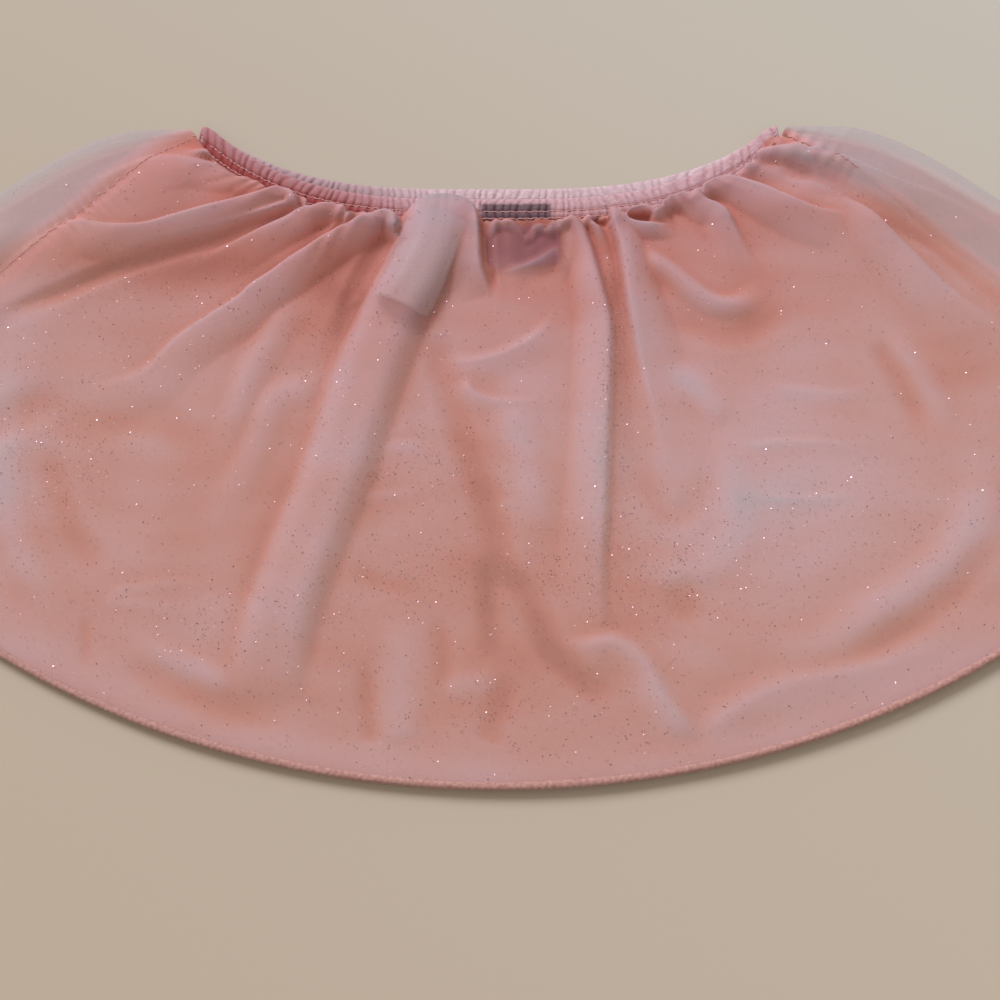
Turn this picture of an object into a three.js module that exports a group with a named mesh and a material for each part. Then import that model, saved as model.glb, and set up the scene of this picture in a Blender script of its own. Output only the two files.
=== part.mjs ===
// A child's pull-on ballet skirt in sheer cloth, laid flat. The back panel lies on the front panel, which
// wraps round both side folds to the side seams. A ribbed elastic casing closes the waist in two halves,
// a rolled hem edges the foot, and two labels hang inside from the back of the waist.
// Millimetres, +Z up from the surface under it, +Y towards the waist, +X to the right as laid.
import * as THREE from 'three';

// Cloth
const clothWall = 1.2;
const layerGap = 0.3;
const seamGap = 0.35;

// Waist seam of the back panel, and how much higher the front one lies in the middle
const waistMiddleX = -5;
const waistHalfWidth = 133;
const waistLowY = 96.5;
const waistRise = 39;
const waistCurve = 3.2;
const frontRise = 7;

// Hem, an arc about a point above the waist, and the outward bow of the side folds
const hemRadius = 400;
const hemCentreY = 248.5;
const hemHalfAngle = THREE.MathUtils.degToRad(48.2);
const sideBow = 86;
const skirtLength = 248;

// Elastic casing: each half is a ribbed strip
const casingWidth = 11.5;
const casingThick = 2.4;
const casingRibs = 72;
const ribRelief = 0.7;
const casingEndShare = 0.45;

// Rolled hem, an oval cord of cloth
const hemWidth = 3.2;
const hemThick = 2;
const hemSides = 6;

// Side seams run on top, this far inside the side folds, and gain that distance over the first stretch
const seamInset = 38;
const seamInsetStart = 2;
const seamInsetGrowth = 0.17;

// Air under the back panel, the puff at each end of the waist, and the fine gathers below the casing
const airLift = 2.4;
const puffLift = 6.5;
const cornerLift = 1.3;
const hemLift = 1.2;
const gatherCount = 26;
const gatherHeight = 1;
const gatherReach = 22;

// Labels inside the back panel: middle of the lower edge, turn from upright, size
const labelWall = 1;
const labelDrop = 1.7;
const labelLift = 2.4;
const labelReach = 4;
const labelMargin = 9;
const labelTable = {
  care_label: { x: -44, y: 51.5, turn: -26, width: 27, length: 40 },
  size_label: { x: 12, y: 71, turn: 0, width: 35, length: 22 },
};

// Folds of the back panel, each a curve through three places, in the order below. Reaches are to the left
// and right when looking along it, and fades are the shares of its length over which its ends die away.
const foldColumns = [
  'name', 'startX', 'startY', 'middleX', 'middleY', 'endX', 'endY',
  'height', 'leftReach', 'rightReach', 'startFade', 'endFade',
];
const foldTable = [
  ['care label ridge', -27, 106, -57, 22, -92, -126, 8, 14, 18, 0, 0.3],
  ['care label edge', -13, 104, -9, 80, -7, 58, 5, 3.5, 12, 0, 0.4],
  ['middle pleat', 31, 97, 41, 18, 40, -98, 6.5, 5, 28, 0.1, 0.3],
  ['middle hollow', 54, 98, 59, 10, 72, -52, -2.4, 7, 7, 0.1, 0.4],
  ['right branch', 50, 104, 66, 60, 82, 14, 4.5, 8, 6, 0, 0.5],
  ['right fork', 57, 84, 85, 60, 114, 53, 3, 5, 9, 0.2, 0.4],
  ['right tuck', 85, 106, 107, 88, 116, 54, 4, 6, 9, 0, 0.5],
  ['right sweep', 97, 117, 175, 86, 238, -6, 7, 8, 18, 0, 0.5],
  ['right shoulder', 112, 124, 162, 118, 228, 62, 5, 8, 10, 0, 0.4],
  ['left shoulder', -88, 108, -137, 101, -194, 91, 5, 10, 8, 0, 0.3],
  ['left hollow', -82, 104, -142, 79, -220, 45, -4, 9, 9, 0.1, 0.3],
  ['left sweep', -50, 100, -104, 66, -172, 19, 6, 16, 9, 0, 0.5],
  ['left tuck', -68, 104, -100, 98, -142, 74, 4, 7, 6, 0, 0.5],
  ['left trough', -51, 93, -64, 50, -78, 0, -2.5, 8, 8, 0.2, 0.5],
  ['lower fork', 18, -97, 50, -100, 80, -138, 4, 6, 9, 0.3, 0.1],
  ['lower sweep', 80, -137, 125, -108, 196, -91, 3.5, 7, 9, 0.1, 0.4],
  ['right dip', 162, 48, 173, 10, 178, -24, -2.5, 10, 10, 0.3, 0.3],
  ['right low dip', 193, 0, 176, -45, 125, -87, -2.5, 9, 9, 0.3, 0.3],
  ['lower ridge', -44, -70, -43, -101, -41, -134, 2.2, 8, 8, 0.4, 0.2],
  ['lower dip', 3, -58, 15, -88, 38, -120, -2, 8, 8, 0.3, 0.3],
  ['left low ridge', -142, -90, -120, -98, -102, -111, 2, 6, 6, 0.3, 0.3],
  ['left side fold', -198, 98, -240, 55, -262, -8, 4, 10, 12, 0.3, 0.3],
  ['left side dip', -178, 18, -222, -15, -246, -60, -2.5, 12, 12, 0.3, 0.2],
  ['right side fold', 224, 86, 257, 42, 268, -16, 3.5, 10, 10, 0.3, 0.3],
];
const folds = foldTable.map((row) => Object.fromEntries(foldColumns.map((column, k) => [column, row[k]])));
const foldSteps = 16;

// Mesh steps
const lengthSteps = 18;
const backSteps = 72;
const wrapSteps = 3;
const rollSteps = 6;
const underSteps = 26;
const labelSteps = 5;

// Heights of the middle of each layer
const frontHeight = clothWall / 2;
const backRest = clothWall + layerGap + clothWall / 2;
const backCasingBase = casingThick + layerGap;
const backSeamHeight = backCasingBase + casingThick / 2;
const backHemHeight = hemThick + layerGap + hemThick / 2;
const labelRest = clothWall + layerGap + labelWall / 2;

const smooth = THREE.MathUtils.smoothstep;

// ---- plan of the skirt: u runs from the left side fold (-1) to the right one (1), v from waist to hem

function waistPoint(u) {
  const rise = waistRise * Math.abs(u) ** waistCurve;
  return new THREE.Vector2(waistMiddleX + waistHalfWidth * u, waistLowY + rise);
}

function hemPoint(u) {
  const angle = hemHalfAngle * u;
  return new THREE.Vector2(hemRadius * Math.sin(angle), hemCentreY - hemRadius * Math.cos(angle));
}

function planPoint(u, v) {
  const top = waistPoint(u);
  const foot = hemPoint(u);
  const run = foot.clone().sub(top).normalize();
  const bow = sideBow * u * Math.abs(u);
  const bend = top.clone().add(foot).multiplyScalar(0.5);
  bend.add(new THREE.Vector2(-run.y, run.x).multiplyScalar(bow));
  top.multiplyScalar((1 - v) ** 2);
  return top.addScaledVector(bend, 2 * v * (1 - v)).addScaledVector(foot, v * v);
}

// Millimetres for each unit of u at a side fold
function sideSpan(side, v) {
  const probe = 0.05;
  return planPoint(side, v).distanceTo(planPoint(side * (1 - probe), v)) / probe;
}

// Where the side seam runs, as a u
function seamU(side, v) {
  const inset = seamInsetStart + seamInset * (1 - Math.exp(-v / seamInsetGrowth));
  return side * (1 - inset / sideSpan(side, v));
}

// The front panel lies higher than the back one in the middle of the waist
function frontShift(u, v) {
  return frontRise * (1 - Math.abs(u) ** waistCurve) * (1 - v) ** 2;
}

// The u and v of a place in plan, by Newton steps
function clothPlace(x, y) {
  const probe = 0.001;
  let u = 0;
  let v = 0.5;
  for (let step = 0; step < 8; step++) {
    const here = planPoint(u, v);
    const alongU = planPoint(u + probe, v).sub(here).divideScalar(probe);
    const alongV = planPoint(u, v + probe).sub(here).divideScalar(probe);
    const missX = x - here.x;
    const missY = y - here.y;
    const area = alongU.x * alongV.y - alongU.y * alongV.x;
    u += (missX * alongV.y - missY * alongV.x) / area;
    v += (alongU.x * missY - alongU.y * missX) / area;
  }
  return { u, v };
}

// ---- heights of the upper layer

function foldRoute(fold) {
  const bendX = 2 * fold.middleX - (fold.startX + fold.endX) / 2;
  const bendY = 2 * fold.middleY - (fold.startY + fold.endY) / 2;
  const route = new THREE.QuadraticBezierCurve(
    new THREE.Vector2(fold.startX, fold.startY),
    new THREE.Vector2(bendX, bendY),
    new THREE.Vector2(fold.endX, fold.endY),
  );
  return route.getPoints(foldSteps);
}

for (const fold of folds) {
  fold.route = foldRoute(fold);
}

function foldLift(fold, place) {
  let nearest = { distance: Infinity, share: 0, side: 1 };
  for (let k = 0; k < foldSteps; k++) {
    const step = fold.route[k + 1].clone().sub(fold.route[k]);
    const from = place.clone().sub(fold.route[k]);
    const along = THREE.MathUtils.clamp(from.dot(step) / step.lengthSq(), 0, 1);
    const distance = from.clone().addScaledVector(step, -along).length();
    if (distance < nearest.distance) {
      nearest = { distance, share: (k + along) / foldSteps, side: step.cross(from) };
    }
  }
  const reach = nearest.side > 0 ? fold.leftReach : fold.rightReach;
  if (nearest.distance >= reach) {
    return 0;
  }
  const start = fold.startFade > 0 ? smooth(nearest.share, 0, fold.startFade) : 1;
  const end = 1 - smooth(nearest.share, 1 - fold.endFade, 1);
  return fold.height * start * end * (1 - (nearest.distance / reach) ** 2) ** 2;
}

// Uneven fine gathers that die away below the casing
function gatherLift(u, v) {
  const turns = (gatherCount / 2) * u + 0.35 * Math.sin(7 * u) + 0.2 * Math.sin(17 * u + 1);
  const fade = Math.exp((-v * skirtLength) / gatherReach);
  return gatherHeight * Math.cos(2 * Math.PI * turns) * (0.75 + 0.25 * Math.sin(11 * u)) * fade;
}

function labelFrame(label) {
  const turn = THREE.MathUtils.degToRad(label.turn);
  return {
    across: new THREE.Vector2(Math.cos(turn), Math.sin(turn)),
    up: new THREE.Vector2(-Math.sin(turn), Math.cos(turn)),
  };
}

// The cloth is held off the front panel where a label lies under it
function labelPush(place) {
  let push = 0;
  for (const label of Object.values(labelTable)) {
    const { across, up } = labelFrame(label);
    const from = place.clone().sub(new THREE.Vector2(label.x, label.y));
    const aside = Math.abs(from.dot(across)) - label.width / 2;
    const beyond = Math.abs(from.dot(up) - label.length / 2) - label.length / 2;
    const off = Math.max(aside, beyond, 0);
    push = Math.max(push, labelLift * (1 - smooth(off, 0, labelMargin)));
  }
  return push;
}

function backHeight(u, v) {
  const place = planPoint(u, v);
  const aside = Math.abs(u);
  const puffAlong = smooth(v, 0, 0.12) * (1 - smooth(v, 0.25, 0.85));
  let lift = airLift * (1 - 0.7 * smooth(v, 0.8, 1));
  lift += puffLift * smooth(aside, 0.6, 0.95) * puffAlong;
  for (const fold of folds) {
    lift += foldLift(fold, place);
  }
  lift *= smooth(v, -0.02, 0.08);
  const softness = 0.8;
  lift = (lift + Math.hypot(lift, softness)) / 2;
  const flat = smooth(v, 0.93, 0.985);
  const edge = hemLift + cornerLift * smooth(aside, 0.8, 0.97);
  lift = THREE.MathUtils.lerp(lift, edge + 0.25 * lift, flat);
  const seam = backSeamHeight - backRest;
  const fromSeam = smooth(v, 0, 0.05);
  const loose = THREE.MathUtils.lerp(seam, lift, fromSeam) + gatherLift(u, v);
  return backRest + Math.max(loose, labelPush(place));
}

// ---- solids

function geometryOf(points, index) {
  const geometry = new THREE.BufferGeometry();
  geometry.setAttribute('position', new THREE.Float32BufferAttribute(points.flatMap((p) => p.toArray()), 3));
  geometry.setIndex(index);
  geometry.computeVertexNormals();
  return geometry;
}

// Rims are cut upright, so that pieces that meet there keep their gap whatever their slope
function normalAt(rows, j, i) {
  const row = rows[j];
  const lastColumn = row.length - 1;
  const lastRow = rows.length - 1;
  const across = row[Math.min(i + 1, lastColumn)].clone().sub(row[Math.max(i - 1, 0)]);
  const down = rows[Math.min(j + 1, lastRow)][i].clone().sub(rows[Math.max(j - 1, 0)][i]);
  if (i === 0 || i === lastColumn) {
    across.z = 0;
  }
  if (j === 0 || j === lastRow) {
    down.z = 0;
  }
  return down.cross(across).normalize();
}

// A wall of even thickness about a grid of points on its middle surface
function wallGeometry(rows, thickness) {
  const height = rows.length;
  const width = rows[0].length;
  const upper = [];
  const lower = [];
  for (let j = 0; j < height; j++) {
    for (let i = 0; i < width; i++) {
      const normal = normalAt(rows, j, i);
      upper.push(rows[j][i].clone().addScaledVector(normal, thickness / 2));
      lower.push(rows[j][i].clone().addScaledVector(normal, -thickness / 2));
    }
  }
  const index = [];
  const under = height * width;
  const at = (j, i) => j * width + i;
  for (let j = 0; j < height - 1; j++) {
    for (let i = 0; i < width - 1; i++) {
      const [a, b, c, d] = [at(j, i), at(j, i + 1), at(j + 1, i + 1), at(j + 1, i)];
      index.push(a, d, b, b, d, c);
      index.push(under + a, under + b, under + d, under + b, under + c, under + d);
    }
  }
  const rim = (a, b) => index.push(a, b, under + b, a, under + b, under + a);
  for (let i = 0; i < width - 1; i++) {
    rim(at(0, i), at(0, i + 1));
    rim(at(height - 1, i + 1), at(height - 1, i));
  }
  for (let j = 0; j < height - 1; j++) {
    rim(at(j + 1, 0), at(j, 0));
    rim(at(j, width - 1), at(j + 1, width - 1));
  }
  return geometryOf([...upper, ...lower], index);
}

// A closed bar through rings of points that turn anticlockwise for someone looking back from its end
function barGeometry(rings) {
  const sides = rings[0].length;
  const last = (rings.length - 1) * sides;
  const index = [];
  for (let k = 0; k < rings.length - 1; k++) {
    for (let s = 0; s < sides; s++) {
      const here = k * sides;
      const next = (s + 1) % sides;
      index.push(here + s, here + next, here + sides + s);
      index.push(here + next, here + sides + next, here + sides + s);
    }
  }
  for (let s = 1; s < sides - 1; s++) {
    index.push(0, s + 1, s);
    index.push(last, last + s, last + s + 1);
  }
  return geometryOf(rings.flat(), index);
}

function meshOf(name, geometry, material) {
  const mesh = new THREE.Mesh(geometry, material);
  mesh.name = name;
  return mesh;
}

// ---- panels

// Rows run close to the casing at the top, further off at its ends, and stop short of the rolled hem
function rowV(step, u) {
  const top = (seamGap * (1 + 2.5 * Math.abs(u) ** 8)) / skirtLength;
  const foot = 1 - (hemWidth + seamGap) / skirtLength;
  return THREE.MathUtils.lerp(top, foot, step / lengthSteps);
}

function backRows() {
  const rows = [];
  for (let j = 0; j <= lengthSteps; j++) {
    const sideV = rowV(j, 1);
    const left = seamU(-1, sideV) + seamGap / sideSpan(-1, sideV);
    const right = seamU(1, sideV) - seamGap / sideSpan(1, sideV);
    const row = [];
    for (let i = 0; i <= backSteps; i++) {
      const u = THREE.MathUtils.lerp(left, right, i / backSteps);
      const v = rowV(j, u);
      const place = planPoint(u, v);
      row.push(new THREE.Vector3(place.x, place.y, backHeight(u, v)));
    }
    rows.push(row);
  }
  return rows;
}

// One side of the front panel's section, from its seam on top round the side fold to the underside
function sidePath(side, step, vAt, low) {
  const v = vAt(step, side);
  const span = sideSpan(side, v);
  const firstReach = 4;
  const firstHeight = backHeight(side * (1 - firstReach / span), v);
  const reach = (1.2 * (firstHeight - low)) / 2 / span;
  const top = backHeight(side * (1 - reach), v);
  const path = [];
  for (let i = 0; i < wrapSteps; i++) {
    const u = THREE.MathUtils.lerp(seamU(side, v), side * (1 - reach), i / wrapSteps);
    const place = planPoint(u, vAt(step, u));
    path.push(new THREE.Vector3(place.x, place.y, backHeight(u, vAt(step, u))));
  }
  for (let i = 0; i <= rollSteps; i++) {
    const turn = (Math.PI * i) / rollSteps;
    const u = side * (1 - reach + reach * Math.sin(turn));
    const place = planPoint(u, vAt(step, u));
    const shift = (frontShift(u, v) * i) / rollSteps;
    const height = low + ((top - low) * (1 + Math.cos(turn))) / 2;
    path.push(new THREE.Vector3(place.x, place.y + shift, height));
  }
  return { path, innerU: side * (1 - reach) };
}

// The whole section of the front panel, from the left seam round under the skirt to the right seam
function frontSection(step, vAt, low) {
  const left = sidePath(-1, step, vAt, low);
  const right = sidePath(1, step, vAt, low);
  const under = [];
  for (let i = 1; i < underSteps; i++) {
    const u = THREE.MathUtils.lerp(left.innerU, right.innerU, i / underSteps);
    const v = vAt(step, u);
    const place = planPoint(u, v);
    under.push(new THREE.Vector3(place.x, place.y + frontShift(u, v), low));
  }
  return [...left.path, ...under, ...right.path.reverse()];
}

function frontRows() {
  return Array.from({ length: lengthSteps + 1 }, (_, j) => frontSection(j, rowV, frontHeight));
}

// ---- casing

// One half of the casing along its waist curve; shift raises the front half's middle
function casingGeometry(base, shift) {
  const columns = casingRibs * 2;
  const waistAt = (u) => {
    const place = waistPoint(u);
    place.y += shift * (1 - Math.abs(u) ** waistCurve);
    return place;
  };
  const rings = [];
  for (let k = 0; k <= columns; k++) {
    const u = -1 + (2 * k) / columns;
    const probe = 0.002;
    const run = waistAt(Math.min(u + probe, 1)).sub(waistAt(Math.max(u - probe, -1))).normalize();
    const square = new THREE.Vector2(-run.y, run.x);
    const across = square.clone().lerp(new THREE.Vector2(0, 1), Math.abs(u) ** 3).normalize();
    const width = casingWidth / across.dot(square);
    const crest = k % 2 === 0 ? 0 : ribRelief;
    const end = k === 0 || k === columns ? casingEndShare : 1;
    const foot = waistAt(u);
    const point = (share, height) => {
      const level = casingThick / 2 + (height - casingThick / 2) * end;
      return new THREE.Vector3(
        foot.x + across.x * width * share, foot.y + across.y * width * share, base + level,
      );
    };
    rings.push([
      point(0.94, 0),
      point(crest > 0 ? 0.97 : 1, casingThick / 2),
      point(0.88, casingThick - crest),
      point(0.12, casingThick - crest),
      point(0, casingThick / 2),
      point(0.06, 0),
    ]);
  }
  return barGeometry(rings);
}

// ---- rolled hem

// A row along the hem at the middle of the roll
function hemV() {
  return 1 - hemWidth / 2 / skirtLength;
}

function hemGeometry(centres) {
  const rings = centres.map((centre, k) => {
    const before = centres[Math.max(k - 1, 0)];
    const after = centres[Math.min(k + 1, centres.length - 1)];
    const run = after.clone().sub(before).normalize();
    const outward = new THREE.Vector3(centre.x, centre.y - hemCentreY, 0).normalize();
    outward.addScaledVector(run, -outward.dot(run)).normalize();
    const up = outward.clone().cross(run);
    return Array.from({ length: hemSides }, (_, s) => {
      const turn = (2 * Math.PI * s) / hemSides;
      return centre.clone()
        .addScaledVector(outward, (hemWidth / 2) * Math.cos(turn))
        .addScaledVector(up, (-hemThick / 2) * Math.sin(turn));
    });
  });
  return barGeometry(rings);
}

function backHemCentres() {
  const v = hemV();
  const left = seamU(-1, v) + seamGap / sideSpan(-1, v);
  const right = seamU(1, v) - seamGap / sideSpan(1, v);
  return Array.from({ length: backSteps + 1 }, (_, i) => {
    const u = THREE.MathUtils.lerp(left, right, i / backSteps);
    const place = planPoint(u, v);
    return new THREE.Vector3(place.x, place.y, Math.max(backHeight(u, v), backHemHeight));
  });
}

// ---- labels, made from the back panel's surface moved down

// The cloth's lowest height about a place, so that a label clears its steep sides too
function lowestNear(place) {
  const steps = [[0, 0], [labelReach, 0], [-labelReach, 0], [0, labelReach], [0, -labelReach]];
  const heights = steps.map(([dx, dy]) => {
    const { u, v } = clothPlace(place.x + dx, place.y + dy);
    return backHeight(u, v);
  });
  return Math.min(...heights);
}

function labelRows(label) {
  const { across, up } = labelFrame(label);
  const rows = [];
  for (let j = 0; j <= labelSteps; j++) {
    const row = [];
    for (let i = 0; i <= labelSteps; i++) {
      const place = new THREE.Vector2(label.x, label.y);
      place.addScaledVector(up, label.length * (1 - j / labelSteps));
      place.addScaledVector(across, label.width * (i / labelSteps - 0.5));
      row.push(new THREE.Vector3(place.x, place.y, Math.max(lowestNear(place) - labelDrop, labelRest)));
    }
    rows.push(row);
  }
  return rows;
}

// ---- materials and the group

const sheer = { roughness: 0.75, metalness: 0 };
const backCloth = new THREE.MeshStandardMaterial({ color: 0xc7918b, ...sheer, transparent: true, opacity: 0.85 });
const frontCloth = new THREE.MeshStandardMaterial({ color: 0xbd867e, ...sheer });
const casingCloth = new THREE.MeshStandardMaterial({ color: 0xb17c7b, ...sheer });
const hemCloth = new THREE.MeshStandardMaterial({ color: 0xa9736d, ...sheer });
const careTape = new THREE.MeshStandardMaterial({ color: 0xe9e2df, roughness: 0.6, metalness: 0 });
const sizeTape = new THREE.MeshStandardMaterial({ color: 0x4a3a55, roughness: 0.6, metalness: 0 });

const skirt = new THREE.Group();
skirt.add(
  meshOf('back_panel', wallGeometry(backRows(), clothWall), backCloth),
  meshOf('front_panel', wallGeometry(frontRows(), clothWall), frontCloth),
  meshOf('waistband_back', casingGeometry(backCasingBase, 0), casingCloth),
  meshOf('waistband_front', casingGeometry(0, frontRise), casingCloth),
  meshOf('hem_back', hemGeometry(backHemCentres()), hemCloth),
  meshOf('hem_front', hemGeometry(frontSection(0, hemV, hemThick / 2)), hemCloth),
  meshOf('care_label', wallGeometry(labelRows(labelTable.care_label), labelWall), careTape),
  meshOf('size_label', wallGeometry(labelRows(labelTable.size_label), labelWall), sizeTape),
);

export default skirt;
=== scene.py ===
import math

import bpy
import numpy as np
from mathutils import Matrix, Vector


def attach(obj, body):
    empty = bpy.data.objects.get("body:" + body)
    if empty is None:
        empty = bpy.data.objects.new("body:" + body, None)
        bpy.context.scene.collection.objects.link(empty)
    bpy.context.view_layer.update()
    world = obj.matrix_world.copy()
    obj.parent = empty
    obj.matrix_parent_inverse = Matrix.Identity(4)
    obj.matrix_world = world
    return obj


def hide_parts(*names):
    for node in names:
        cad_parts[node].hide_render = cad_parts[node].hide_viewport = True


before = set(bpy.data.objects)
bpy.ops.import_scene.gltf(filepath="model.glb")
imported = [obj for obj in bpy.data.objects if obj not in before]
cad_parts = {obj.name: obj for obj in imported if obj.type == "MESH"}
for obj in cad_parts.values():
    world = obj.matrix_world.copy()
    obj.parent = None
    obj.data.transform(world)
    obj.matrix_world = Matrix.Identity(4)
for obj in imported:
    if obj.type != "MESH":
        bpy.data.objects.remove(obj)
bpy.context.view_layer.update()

# A child's pull-on ballet skirt in sheer pink chiffon, laid flat with its back panel on top.
# Sizes are millimetres until a mesh is made, in the frame of the solids: +Y towards the waist, +Z up.
mm = 0.001
scene = bpy.context.scene


# Plan of the skirt: u runs from the left side fold (-1) to the right one (1), v from waist seam to hem
plan = {
    "waistMiddleX": -5,
    "waistHalfWidth": 133,
    "waistLowY": 96.5,
    "waistRise": 39,
    "waistCurve": 3.2,
    "frontRise": 7,
    "hemRadius": 400,
    "hemCentreY": 248.5,
    "hemHalfAngle": math.radians(48.2),
    "sideBow": 86,
    "length": 248,
    "seamInset": 38,
    "seamInsetStart": 2,
    "seamInsetGrowth": 0.17,
    "shoulderOut": (10.5, 12.5),
}


def smooth(x, low, high):
    t = np.clip((x - low) / (high - low), 0, 1)
    return t * t * (3 - 2 * t)


def unit(vectors):
    return vectors / np.linalg.norm(vectors, axis=-1, keepdims=True)


# Points from places in plan and their heights
def raised(places, height):
    return np.concatenate([places, height[..., None]], axis=-1)


# How far places are from the middle of a soft oval patch, as a square: 1 at its half sizes
def ovalOff(x, y, middleX, middleY, halfWidth, halfHeight):
    return ((x - middleX) / halfWidth) ** 2 + ((y - middleY) / halfHeight) ** 2


def waistPoint(u, shift=0):
    fall = 1 - np.abs(u) ** plan["waistCurve"]
    x = plan["waistMiddleX"] + plan["waistHalfWidth"] * u
    return np.stack([x, plan["waistLowY"] + plan["waistRise"] * (1 - fall) + shift * fall], axis=-1)


def hemPoint(u):
    angle = plan["hemHalfAngle"] * u
    x = plan["hemRadius"] * np.sin(angle)
    return np.stack([x, plan["hemCentreY"] - plan["hemRadius"] * np.cos(angle)], axis=-1)


def planPoint(u, v):
    u, v = np.broadcast_arrays(np.asarray(u, float), np.asarray(v, float))
    top = waistPoint(u)
    foot = hemPoint(u)
    run = unit(foot - top)
    square = np.stack([-run[..., 1], run[..., 0]], axis=-1)
    bend = (top + foot) / 2 + square * (plan["sideBow"] * u * np.abs(u))[..., None]
    left, right = plan["shoulderOut"]
    out = np.where(u < 0, left, right) * smooth(np.abs(u), 0.86, 1.0) * smooth(v, -0.004, 0.02)
    out = out * (1 - smooth(v, 0.1, 0.42))
    v = v[..., None]
    place = top * (1 - v) ** 2 + bend * 2 * v * (1 - v) + foot * v ** 2
    aside = np.sign(u) * out * (0.3 * smooth(v[..., 0], 0, 0.08) - 0.08)
    return place + np.stack([aside, out], axis=-1)


def sideSpan(side, v):
    probe = 0.05
    return np.linalg.norm(planPoint(side, v) - planPoint(side * (1 - probe), v), axis=-1) / probe


def seamU(side, v):
    inset = plan["seamInsetStart"] + plan["seamInset"] * (1 - np.exp(-v / plan["seamInsetGrowth"]))
    return side * (1 - inset / sideSpan(side, v))


def frontShift(u, v):
    return plan["frontRise"] * (1 - np.abs(u) ** plan["waistCurve"]) * (1 - v) ** 2


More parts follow.
